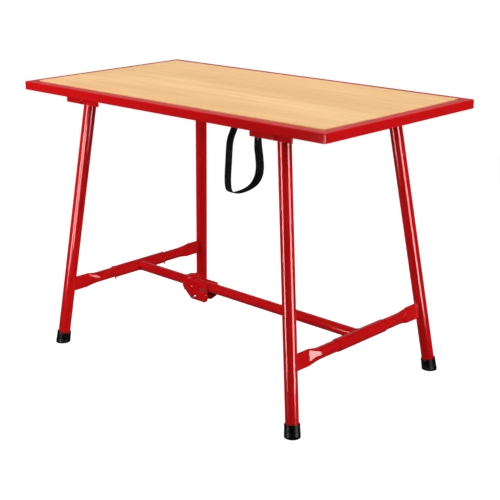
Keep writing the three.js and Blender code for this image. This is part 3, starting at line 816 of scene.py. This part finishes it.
def make_board():
    """Board rebated all round; its face stands just proud of the rails."""
    base = (TOP_LENGTH / 2 - RAIL_WALL - SEAT_GAP, TOP_WIDTH / 2 - RAIL_WALL - SEAT_GAP)
    face = (TOP_LENGTH / 2 - RAIL_FLANGE - SEAT_GAP, TOP_WIDTH / 2 - RAIL_FLANGE - SEAT_GAP)
    ledge = TOP_HEIGHT - RAIL_WALL - SEAT_GAP
    levels = [
        (base, BOARD_EASE, BOARD_UNDERSIDE), (base, 0, BOARD_UNDERSIDE + BOARD_EASE),
        (base, 0, ledge - BOARD_EASE), (base, BOARD_EASE, ledge), (face, 0, ledge),
        (face, 0, BOARD_TOP - BOARD_CHAMFER), (face, BOARD_CHAMFER, BOARD_TOP),
    ]
    rings = []
    for (x, y), shrink, z in levels:
        x, y = x - shrink, y - shrink
        rings.append([(-x, -y, z), (x, -y, z), (x, y, z), (-x, y, z)])
    stand_in("work_board", [loft(rings)], "wood")


def rail_outline():
    """Section of the angle: inward from the outer face, and height."""
    foot, inner, top = TOP_HEIGHT - RAIL_DEPTH, TOP_HEIGHT - RAIL_WALL, TOP_HEIGHT
    return fillet([
        (0, foot, RAIL_TIP), (RAIL_WALL, foot, RAIL_TIP), (RAIL_WALL, inner, RAIL_INNER_BEND),
        (RAIL_FLANGE, inner, RAIL_TIP), (RAIL_FLANGE, top, RAIL_TIP), (0, top, RAIL_BEND),
    ], 6)


def make_rail(node, length, width, turn, tab_spacing):
    outline, face = rail_outline(), -width / 2
    half_rings = []
    for step in range(CORNER_STEPS + 1):
        angle = math.pi / 4 * step / CORNER_STEPS
        back = RAIL_CORNER * (1 - math.cos(angle))
        end = length / 2 - RAIL_CORNER * (1 - math.sin(angle))
        gap = MITRE_GAP + RING_GAP * (CORNER_STEPS - step)
        ring = []
        for p in outline:
            inward = max(p.x, back)
            ring.append((min(end, length / 2 - inward) - gap, face + inward, p.y))
        half_rings.append(ring)
    rings = [[(-x, y, z) for x, y, z in ring] for ring in reversed(half_rings)] + half_rings
    shells = [loft(rings)]
    high = BOARD_UNDERSIDE - SEAT_GAP
    low = high - RAIL_WALL
    near, seam, far = face + RAIL_WALL / 2, face + RAIL_WALL, face + TAB_REACH
    for sign in (-1, 1):
        left, right = (sign * tab_spacing / 2 + half for half in (-TAB_LENGTH / 2, TAB_LENGTH / 2))
        tab = fillet([(left, near, 0), (right, near, 0), (right, far, TAB_CORNER), (left, far, TAB_CORNER)])
        shells.append(prism(tab, low, high, TAB_EDGE, lambda u, v, h: Vector((u, v, h))))
        shells.append(bead(line((left, seam, low), (right, seam, low)), TAB_WELD))
    matrix = Matrix.Rotation(turn, 4, "Z")
    stand_in(node, [moved(shell, matrix) for shell in shells], "red_paint")


make_board()
make_rail("front_rail", TOP_LENGTH, TOP_WIDTH, 0, LONG_TAB_SPACING)
make_rail("right_rail", TOP_WIDTH, TOP_LENGTH, math.pi / 2, SHORT_TAB_SPACING)
make_rail("rear_rail", TOP_LENGTH, TOP_WIDTH, math.pi, LONG_TAB_SPACING)
make_rail("left_rail", TOP_WIDTH, TOP_LENGTH, -math.pi / 2, SHORT_TAB_SPACING)


# Hinge brackets and their fasteners

def make_bracket(end, side):
    """Channel under the board, with a plate across it that the standing leg leans on."""
    node = f"{end}_{side}_bracket"
    low, high, _ = node_box(node)
    wall, bend, tip = BRACKET_WALL, BRACKET_BEND, BRACKET_TIP
    channel = fillet([
        (low.y, low.z, tip), (low.y + wall, low.z, tip), (low.y + wall, high.z - wall, bend - wall),
        (high.y - wall, high.z - wall, bend - wall), (high.y - wall, low.z, tip), (high.y, low.z, tip),
        (high.y, high.z, bend), (low.y, high.z, bend),
    ])
    left, right, top = low.y + wall / 2, high.y - wall / 2, high.z - wall / 2
    plate = fillet([(left, low.z, 0), (right, low.z, 0), (right, top, 0), (left, top, 0)])
    stop = PIVOT_X + EAR_BELOW_PIVOT * math.tan(TILT) + LEG_RADIUS / math.cos(TILT) + SEAT_GAP
    near, far = sorted((SIGN[side] * stop, SIGN[side] * (stop + wall)))
    shells = []
    for outline, start, finish in ((channel, low.x, high.x), (plate, near, far)):
        shells.append(prism(outline, start, finish, BRACKET_EDGE, lambda u, v, h: Vector((h, u, v))))
    stand_in(node, shells, "red_paint")


def make_pivot_bolt(end, side):
    node = f"{end}_{side}_pivot_bolt"
    low, high, middle = node_box(node)
    sign, radius, length = SIGN[end], (high.x - low.x) / 2, high.y - low.y
    outside = high.y if sign > 0 else low.y
    profile = [(CORE, 0)] + [(radius - depth, height) for depth, height in BOLT_DOME]
    profile += [
        (BOLT_RADIUS, BOLT_HEAD), (BOLT_RADIUS, length - BOLT_BEVEL), (BOLT_RADIUS - BOLT_BEVEL, length),
        (CORE, length),
    ]
    shell = lathe(profile, (middle.x, outside, middle.z), (0, -sign, 0), SMALL_SIDES)
    stand_in(node, [shell], "red_paint")


def make_pivot_nut(end, side):
    node = f"{end}_{side}_pivot_nut"
    low, high, middle = node_box(node)
    radius = (high.x - low.x) / 2
    corners = []
    for a in turns(6):
        corners.append((middle.x + radius * math.cos(a), middle.z + radius * math.sin(a), NUT_CORNER))
    shell = prism(fillet(corners, 3), low.y, high.y, NUT_EDGE, lambda u, v, h: Vector((u, h, v)))
    stand_in(node, [shell], "red_paint")


def make_screw(node):
    """Pan-head screw driven up into the board, with a six-sided socket in its head."""
    low, high, middle = node_box(node)
    head, seat = (high.x - low.x) / 2, low.z + SCREW_HEAD
    rows = [
        (True, SCREW_SOCKET * SCREW_SOCKET_TAPER, low.z + SCREW_SOCKET_DEPTH),
        (True, SCREW_SOCKET, low.z),
    ]
    rows += [(False, head * share, low.z + height) for share, height in SCREW_DOME]
    shaft = [(SCREW_SHANK, seat), (SCREW_SHANK, high.z - SCREW_TIP), (SCREW_POINT, high.z)]
    rows += [(False, radius, z) for radius, z in shaft]
    rings = []
    for six_sided, radius, z in rows:
        ring = []
        for a in turns(SCREW_SIDES, 0.5):
            reach = radius / math.cos(a % (math.pi / 3) - math.pi / 6) if six_sided else radius
            ring.append((middle.x + reach * math.cos(a), middle.y + reach * math.sin(a), z))
        rings.append(ring)
    stand_in(node, [loft(rings)], "zinc")


for end, side in CORNERS:
    make_bracket(end, side)
    make_pivot_bolt(end, side)
    make_pivot_nut(end, side)
    for place in ("inner", "outer"):
        make_screw(f"{end}_{side}_{place}_bracket_screw")
make_screw("strap_front_screw")
make_screw("strap_rear_screw")


# Leg frames, drawn about the pivot axis and then tilted outwards

def frame_matrix(side):
    turn = Matrix.Rotation(0 if side == "right" else math.pi, 4, "Z")
    return turn @ Matrix.Translation((PIVOT_X, 0, PIVOT_HEIGHT)) @ Matrix.Rotation(-TILT, 4, "Y")


def drawn_sign(end, side):
    """Which way a leg lies in its frame's own axes; the left frame is turned half round."""
    return SIGN[end] * SIGN[side]


def leg_point(sign, down):
    return Vector((0, sign * (HIP_Y + SPLAY * down), -down))


def frame_piece(node, side, shells, finish="red_paint"):
    """Finer form drawn in a leg frame's own axes."""
    matrix = frame_matrix(side)
    return stand_in(node, [moved(shell, matrix) for shell in shells], finish)


def make_leg(end, side):
    sign = drawn_sign(end, side)
    hip, half = sign * HIP_Y, BARREL_LENGTH / 2
    shells = [
        rod(leg_point(sign, -LEG_CROWN), leg_point(sign, FRAME_REACH - FOOT_SOLE), LEG_RADIUS, LEG_RIM),
        rod((0, hip - half, 0), (0, hip + half, 0), BARREL_RADIUS, BARREL_RIM),
    ]
    frame_piece(f"{end}_{side}_leg", side, shells)


def make_foot(end, side):
    """Rubber ferrule with a rolled lip and two grooves, cut level with the floor."""
    sign = drawn_sign(end, side)
    socket, top = LEG_RADIUS + FOOT_FIT, FOOT_HEIGHT
    flare, drop = FOOT_MOUTH
    profile = [(FOOT_CORE, -FOOT_RADIUS)]
    profile += [(FOOT_RADIUS - depth, height) for depth, height in FOOT_SIDE]
    profile += [(FOOT_RADIUS - depth, top - below) for depth, below in FOOT_LIP]
    profile += [(socket + flare, top), (socket, top - drop), (socket, FOOT_SOLE), (FOOT_CORE, FOOT_SOLE)]
    sole = leg_point(sign, FRAME_REACH)
    shell = lathe(profile, sole, leg_point(sign, 0) - sole)
    piece = frame_piece(f"{end}_{side}_foot", side, [shell], "rubber")
    work = bmesh.new()
    work.from_mesh(piece.data)
    everything = work.verts[:] + work.edges[:] + work.faces[:]
    floor = {"plane_co": (0, 0, 0), "plane_no": (0, 0, 1)}
    cut = bmesh.ops.bisect_plane(work, geom=everything, clear_inner=True, **floor)
    rim = [e for e in cut["geom_cut"] if isinstance(e, bmesh.types.BMEdge)]
    bmesh.ops.edgeloop_fill(work, edges=rim)
    bmesh.ops.recalc_face_normals(work, faces=work.faces)
    work.to_mesh(piece.data)
    work.free()
    piece.data.shade_smooth()


def pressed_ring(share, flat, along_y):
    """Section of the crossbar, from round at share 0 to the blade at share 1, with flats at its sides."""
    height = BAR_RADIUS + (BLADE_HALF_HEIGHT - BAR_RADIUS) * share
    thickness = BAR_RADIUS + (BLADE_HALF_THICKNESS - BAR_RADIUS) * share
    ring = []
    for angle in turns(SIDES, 0.5):
        z = math.copysign(flat, math.sin(angle)) + (height - flat) * math.sin(angle)
        ring.append(Vector((thickness * math.cos(angle), along_y(z), z - BAR_DROP)))
    return ring


def opened_share(t):
    """How far the pressed bar has opened along its taper: straight at first, then easing into the round."""
    u = max(0, t - TAPER_STRAIGHT) / (1 - TAPER_STRAIGHT)
    rest = 1 - TAPER_SLOPE * TAPER_STRAIGHT
    lead = TAPER_SLOPE * (1 - TAPER_STRAIGHT)
    return TAPER_SLOPE * min(t, TAPER_STRAIGHT) + lead * u + (rest - lead) * u * u


def leg_face(z, x=0.0):
    """How far out the leg's inner surface lies at a height above the bar's axis."""
    return HIP_Y + SPLAY * (BAR_DROP - z) - math.sqrt(LEG_RADIUS ** 2 - x ** 2) * LEG_SLANT


def make_crossbar(side):
    blade_end = leg_face(0) - BLADE_LENGTH
    blade_flat = BLADE_HALF_HEIGHT - BLADE_CORNER
    outer_half = [
        (1, blade_flat, lambda z: leg_face(z) + BLADE_SINK),
        (1, blade_flat, lambda z: blade_end + BLADE_HOLD),
    ]
    for s in range(TAPER_STEPS + 1):
        run = BLADE_TAPER * s / TAPER_STEPS
        flat = max(0, FACET_HALF_HEIGHT * (1 - run / FACET_LENGTH))
        outer_half.append((1 - opened_share(s / TAPER_STEPS), flat, lambda z, run=run: blade_end - run))
    outer_half.append((0, 0, lambda z: blade_end - BLADE_TAPER - BLADE_HOLD))
    rings = [pressed_ring(share, flat, lambda z, at=at: -at(z)) for share, flat, at in outer_half]
    rings += [pressed_ring(share, flat, at) for share, flat, at in reversed(outer_half)]
    frame_piece(f"{side}_crossbar", side, [loft(rings)])
    welds = []
    for sign in (-1, 1):
        path = []
        for u, v in weld_loop():
            path.append(Vector((u, sign * (leg_face(v, u) - BLADE_WELD_SINK), v - BAR_DROP)))
        welds.append(moved(bead(path, BLADE_WELD, loop=True), frame_matrix(side)))
    add_on(f"{side}_crossbar_welds", welds, "red_paint", f"{side}_crossbar", crisp=False)


def weld_loop():
    """Evenly spaced points round the blade's section."""
    corners = fillet([
        (sign_x * BLADE_HALF_THICKNESS, sign_z * BLADE_HALF_HEIGHT, BLADE_WELD_CORNER)
        for sign_x, sign_z in ((-1, -1), (1, -1), (1, 1), (-1, 1))
    ])
    points = []
    for i, p in enumerate(corners):
        before = corners[i - 1]
        steps = max(1, round((p - before).length / BLADE_WELD_SPACING))
        points += [before.lerp(p, (s + 1) / steps) for s in range(steps)]
    return points


def make_bush(end, side):
    sign = drawn_sign(end, side)
    length = SLEEVE_LENGTH / 2 + SEAT_GAP
    profile = fillet([
        (BUSH_INNER, SEAT_GAP, 0.2), (BUSH_OUTER, SEAT_GAP, 0.2), (BUSH_OUTER, length, 0),
        (SLEEVE_OUTER, length, 0.5), (SLEEVE_OUTER, length + BUSH_FLANGE, 0.8),
        (BUSH_INNER, length + BUSH_FLANGE, 0.4),
    ], 3)
    shell = lathe(profile, (0, 0, -BAR_DROP), (0, sign, 0), loop=True)
    frame_piece(f"{end}_{side}_bush", side, [shell])


def make_retaining_pin(end, side):
    """Headed pin through the crossbar, with a groove near its end and paint over its head."""
    sign = drawn_sign(end, side)
    angle = math.radians(PIN_ANGLE)
    inward = Vector((-math.cos(angle), 0, -math.sin(angle)))
    seat = BAR_RADIUS + SEAT_GAP
    full = 2 * seat + PIN_HEAD + PIN_TAIL - SEAT_GAP
    profile = [(CORE, 0)] + [(PIN_HEAD_RADIUS * share, height) for share, height in PIN_DOME]
    profile += [(PIN_RADIUS, PIN_HEAD)] + [(PIN_RADIUS - depth, full - back) for depth, back in PIN_END]
    start = Vector((0, sign * PIN_Y, -BAR_DROP)) - inward * (seat + PIN_HEAD)
    node = f"{end}_{side}_retaining_pin"
    frame_piece(node, side, [lathe(profile, start, inward, SMALL_SIDES)], "dark_steel")
    coat = [(CORE, -PIN_COAT)] + [(PIN_HEAD_RADIUS - depth, height) for depth, height in PIN_PAINT]
    cap = moved(lathe(coat + [(CORE, PIN_HEAD)], start, inward, SMALL_SIDES), frame_matrix(side))
    add_on(node + "_paint", [cap], "red_paint", node)


def make_sleeve(side):
    inner, outer, rim = SLEEVE_OUTER - SLEEVE_WALL, SLEEVE_OUTER, SLEEVE_RIM
    profile = fillet([
        (inner, 0, rim), (outer, 0, rim), (outer, SLEEVE_LENGTH, rim), (inner, SLEEVE_LENGTH, rim),
    ], 3)
    shell = lathe(profile, (0, -SLEEVE_LENGTH / 2, -BAR_DROP), (0, 1, 0), loop=True)
    frame_piece(f"{side}_sleeve", side, [shell])


for end, side in CORNERS:
    make_leg(end, side)
    make_foot(end, side)
    make_bush(end, side)
    make_retaining_pin(end, side)
for side in ("left", "right"):
    make_crossbar(side)
    make_sleeve(side)


# Stretcher tubes, coped and welded to their sleeves

def make_stretcher(node, sleeve_x, end_x):
    towards = math.copysign(1, end_x - sleeve_x)
    outer, inner = BRACE_RADIUS, BRACE_RADIUS - BRACE_WALL

    def coped(radius, sink, count=SIDES):
        """Ring that lies on the sleeve, or sinks into it."""
        points = []
        for a in turns(count):
            y, z = radius * math.cos(a), radius * math.sin(a)
            x = sleeve_x + towards * (math.sqrt(SLEEVE_OUTER ** 2 - z ** 2) - sink)
            points.append(Vector((x, y, z + CROSSBAR_HEIGHT)))
        return points

    def square(radius, back):
        """Ring square to the tube, back from its end."""
        middle = Vector((end_x - towards * back, 0, CROSSBAR_HEIGHT))
        return [middle + radius * Vector((0, math.cos(a), math.sin(a))) for a in turns(SIDES)]

    rings = [
        coped(outer, BRACE_SINK), square(outer, BRACE_RIM), square(outer - BRACE_RIM, 0),
        square(inner + BRACE_RIM, 0), square(inner, BRACE_RIM), coped(inner, BRACE_SINK),
    ]
    stand_in(node, [loft(rings, loop=True)], "red_paint")
    saddle = coped(outer + BRACE_WELD_OUT, -BRACE_WELD_OFF, BRACE_WELD_STEPS)
    add_on(node + "_weld", [bead(saddle, BRACE_WELD, loop=True)], "red_paint", node, crisp=False)


make_stretcher("short_stretcher_tube", -BAR_X, KNEE.x - EYE_BACK)
make_stretcher("long_stretcher_tube", BAR_X, KNEE.x + EYE_FRONT)


# Knuckle

def at_knee(u, v, h):
    """Point from the knuckle's pivot: along X, up, and across."""
    return KNEE + Vector((u, h, v))


def cheek_outline(tail, heel):
    hump = [CHEEK_HUMP_TURN * s / CHEEK_HUMP_STEPS for s in range(CHEEK_HUMP_STEPS + 1)]
    corners = [(CHEEK_HUMP + CHEEK_HUMP_FOOT, CHEEK_TOP, 2.5)]
    corners += [(CHEEK_HUMP * math.cos(a), CHEEK_HUMP * math.sin(a), 0) for a in hump]
    corners += [
        (-CHEEK_NOSE, CHEEK_TOP, 4), (-CHEEK_NOSE, -CHEEK_SHOULDER, 6), (CHEEK_SKIRT, -CHEEK_DROP, 9),
        (tail - heel[0], -CHEEK_DROP, 15), (tail, -CHEEK_DROP + heel[1], 15), (tail, CHEEK_TOP, 3),
    ]
    return fillet(corners)


def slab(low, high, corner):
    """Outline of a rectangle with rounded corners."""
    (left, below), (right, above) = low, high
    places = ((left, below), (right, below), (right, above), (left, above))
    return fillet([(x, y, corner) for x, y in places], 6)


def make_cheek(end, tail, heel, holes=()):
    sign = SIGN[end]
    near, far = sorted((sign * CHEEK_INNER, sign * CHEEK_OUTER))
    plate = prism(cheek_outline(tail, heel), near, far, CHEEK_EDGE, at_knee)
    stand_in(f"{end}_cheek_plate", [plate], "red_paint", holes=holes)
    across = sign * CHEEK_WELD_OFFSET
    last, short_of_tail = CHEEK_WELD_LAST
    welds = []
    for start, finish in (CHEEK_WELD_RUN, (last, tail - short_of_tail)):
        for height in CHEEK_WELD_HEIGHTS:
            path = line(at_knee(start, height, across), at_knee(finish, height, across))
            welds.append(bead(path, CHEEK_WELD))
    add_on(f"{end}_cheek_welds", welds, "red_paint", f"{end}_cheek_plate", crisp=False)


def make_rivet(node, place, radius, finish):
    head, full = radius + RIVET_HEAD, 2 * (CHEEK_OUTER + SEAT_GAP + RIVET_HEAD)
    dome = [(RIVET_CORE, 0)] + [(head * share, height) for share, height in RIVET_DOME]
    profile = mirrored(dome + [(radius, RIVET_HEAD)], full)
    stand_in(node, [lathe(profile, at_knee(*place, -full / 2), (0, 1, 0), SMALL_SIDES)], finish)


def make_latch():
    outline = fillet(LATCH_OUTLINE)
    stand_in("latch_lever", [prism(outline, -LATCH_HALF, LATCH_HALF, LATCH_EDGE, at_knee)], "red_paint")


def make_spring():
    """Leaf spring under the long tube, pressed up towards its seat as the latch opens."""
    leaf = prism(fillet(SPRING_OUTLINE), -LATCH_HALF, LATCH_HALF, SPRING_EDGE, at_knee)
    spring = stand_in("latch_spring", [leaf], "zinc")
    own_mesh(spring)


def make_front_slot():
    """Space taken out of the front cheek for the dark catch, which also stands in for the shade inside the
    slot.
    """
    outside, inside = SLOT_OVERCUT
    return prism(slab(*SLOT), -CHEEK_OUTER - outside, -CHEEK_INNER + inside, SLOT_EDGE, at_knee)


def make_front_details():
    """On the front cheek: a dark steel catch in a slot, partly a locking tongue and partly a dark piece put
    in as painted shade inside the slot, a pressed pad below it and a small rivet.
    """
    face = -CHEEK_OUTER
    low, high = (face + reach for reach in SHADE_CATCH_REACH)
    # The catch's dark steel is partly painted shade, darkening the slot
    shade_catch = prism(slab(*SHADE_CATCH), low, high, SHADE_CATCH_EDGE, at_knee)
    add_on("front_cheek_shade_catch", [shade_catch], "dark_steel", "front_cheek_plate")
    low, high = (face + reach for reach in PAD_REACH)
    pad = prism(slab(*PAD), low, high, PAD_EDGE, at_knee, PAD_EDGE_STEPS)
    add_on("front_cheek_pad", [pad], "red_paint", "front_cheek_plate")
    spot = lathe(SPOT_DOME, at_knee(*SPOT_PLACE, face), (0, 1, 0), SMALL_SIDES)
    add_on("front_cheek_rivet", [spot], "zinc", "front_cheek_plate")


make_cheek("front", FRONT_TAIL, FRONT_HEEL, holes=[make_front_slot()])
make_cheek("rear", REAR_TAIL, REAR_HEEL)
make_front_details()
make_rivet("knuckle_rivet", (0, 0), radius=4, finish="red_paint")
make_rivet("latch_rivet", LATCH_PIVOT, radius=3.5, finish="zinc")
make_latch()
make_spring()


# The knuckle's eye keeps its CAD form, with eased edges

def ease_edges(node, width, finish):
    piece = frame["nodes"][node]
    piece.data.materials.clear()
    piece.data.materials.append(MATERIALS[finish])
    bevel = piece.modifiers.new("eased_edges", "BEVEL")
    bevel.width = width * MM
    bevel.segments = 2
    bevel.limit_method = "ANGLE"
    bevel.angle_limit = math.radians(40)
    bevel.harden_normals = True


ease_edges("knuckle_eye", EYE_EASE, "red_paint")


# Strap's rivet, and meshes of their own for the strap and its rivet

def make_strap_rivet():
    low, high, middle = node_box("strap_rivet")
    head = (high.x - low.x) / 2
    dome = [(CORE, 0)] + [(head * share, height) for share, height in STRAP_RIVET_DOME]
    profile = mirrored(dome, high.y - low.y)
    shell = lathe(profile, (middle.x, low.y, middle.z), (0, 1, 0), SMALL_SIDES)
    return stand_in("strap_rivet", [shell], "dark_steel")


for soft in (strap, make_strap_rivet()):
    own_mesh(soft)


# Floor, light and background, in metres
BACKDROP = (-0.695, 0.719, 0)
BACKDROP_SPAN = (0.70, 0.90)
BACKDROP_RISE = (0.1, 0.5)
BACKDROP_END = (0.6, 0.4)
ROOM_LIGHT = 0.18
ROOM_GLOSS = 0.05
FLOOR_GLOW = 0.90
FLOOR_PALE = 0.35
FLOOR_UNSEEN = 0.3
FLOOR_NEAR = 1.4
FLOOR_FAR = 3.2
FLOOR_HALF = 30
FLOOR_DROP = 0.0004


def make_world():
    """White backdrop to the eye and in reflections, in a dim room that gives even light."""
    world = bpy.data.worlds.new("studio")
    bpy.context.scene.world = world
    nodes = Nodes(world)
    room, gloss, white = (nodes.glow("ShaderNodeBackground", s) for s in (ROOM_LIGHT, ROOM_GLOSS, 1))
    direction = nodes.node("ShaderNodeTexCoord").outputs["Generated"]
    behind = nodes.ranged(nodes.vector_maths("DOT_PRODUCT", direction, BACKDROP), *BACKDROP_SPAN)
    rise = nodes.vector_maths("DOT_PRODUCT", direction, (0, 0, 1))
    band = nodes.maths("MULTIPLY", nodes.ranged(rise, *BACKDROP_RISE), nodes.ranged(rise, *BACKDROP_END))
    reflection = nodes.mixed(nodes.maths("MULTIPLY", behind, band), gloss, white)
    unseen = nodes.mixed(nodes.ray_share("Is Glossy Ray", "Is Transmission Ray"), room, reflection)
    picture = nodes.mixed(nodes.ray_share("Is Camera Ray"), unseen, white)
    nodes.node("ShaderNodeOutputWorld", {"Surface": picture})


def new_sheet(name, corners):
    """Four-cornered stage piece, and the nodes of its material."""
    mesh = bpy.data.meshes.new(name)
    mesh.from_pydata(corners, [], [(0, 1, 2, 3)])
    piece = bpy.data.objects.new(name, mesh)
    bpy.context.scene.collection.objects.link(piece)
    material = bpy.data.materials.new(name)
    mesh.materials.append(material)
    return piece, Nodes(material)


def make_floor():
    """Pale floor that keeps the shadow near the object and runs out to white."""
    corners = [(x * FLOOR_HALF, y * FLOOR_HALF, 0) for x, y in ((-1, -1), (1, -1), (1, 1), (-1, 1))]
    floor, nodes = new_sheet("floor", corners)
    floor.location.z = -FLOOR_DROP
    floor.visible_glossy = False
    lit = {0: nodes.grey(FLOOR_PALE), 1: nodes.glow("ShaderNodeEmission", FLOOR_GLOW)}
    near = nodes.node("ShaderNodeAddShader", lit).outputs[0]
    far = nodes.glow("ShaderNodeEmission", 1)
    distance = nodes.vector_maths("LENGTH", nodes.node("ShaderNodeNewGeometry").outputs["Position"])
    shown = nodes.mixed(nodes.ranged(distance, FLOOR_NEAR, FLOOR_FAR), near, far)
    seen = nodes.ray_share("Is Camera Ray", "Is Glossy Ray", "Is Transmission Ray")
    nodes.node("ShaderNodeOutputMaterial", {"Surface": nodes.mixed(seen, nodes.grey(FLOOR_UNSEEN), shown)})


def make_lamp(name, place, aim, size, radiance, spread):
    """Soft box with a grid; it lights the object, and the strip boxes give the reflections."""
    data = bpy.data.lights.new(name, "AREA")
    data.shape = "RECTANGLE"
    data.size, data.size_y = size
    half = math.radians(spread) / 2
    data.spread = 2 * half
    data.energy = radiance * math.pi * size[0] * size[1] * (1 - half / math.tan(half))
    lamp = bpy.data.objects.new(name, data)
    lamp.location = place
    lamp.rotation_mode = "QUATERNION"
    lamp.rotation_quaternion = (Vector(aim) - Vector(place)).to_track_quat("-Z", "Y")
    lamp.visible_camera = False
    lamp.visible_glossy = False
    bpy.context.scene.collection.objects.link(lamp)


def make_strip_box(name, place, width, low, high, radiance, facing=None):
    """Tall box at one side of the object, seen only as a bright strip in gloss."""
    foot = Vector((*place, 0))
    across = Vector((*(facing or place), 0)).cross(Vector((0, 0, 1))).normalized() * width / 2
    corners = []
    for side, height in ((-1, low), (1, low), (1, high), (-1, high)):
        corners.append(foot + side * across + Vector((0, 0, height)))
    box, nodes = new_sheet(name, corners)
    for ray in ("camera", "diffuse", "transmission", "volume_scatter", "shadow"):
        setattr(box, "visible_" + ray, False)
    box.active_material.cycles.emission_sampling = "NONE"
    nodes.node("ShaderNodeOutputMaterial", {"Surface": nodes.glow("ShaderNodeEmission", radiance)})


make_world()
make_floor()
make_lamp("key", (4.0, 1.0, 2.2), aim=(0.6, 0, 0.9), size=(2.4, 2.4), radiance=13.6, spread=60)
make_lamp("fill", (-1.5, -2.3, 1.4), aim=(-0.45, -0.3, 0.85), size=(1.6, 1.6), radiance=12.3, spread=70)
make_lamp("top", (0, 0.2, 4.2), aim=(0, 0, 0.8), size=(1.2, 0.8), radiance=19, spread=180)
make_lamp("leg", (1.5, -1.0, 0.38), aim=(-0.45, -0.27, 0.38), size=(0.2, 0.8), radiance=50, spread=25)
make_strip_box(
    "leg_strip", (-0.104, -0.785), width=0.17, low=0.12, high=0.59, radiance=24, facing=(-0.663, 0.749),
)
make_strip_box("right_strip", (1.52, 0.03), width=0.5, low=-0.10, high=0.86, radiance=23)
make_strip_box("left_strip", (-0.46, -2.40), width=0.72, low=-0.34, high=1.3, radiance=24)

bpy.context.scene.view_settings.view_transform = "Standard"
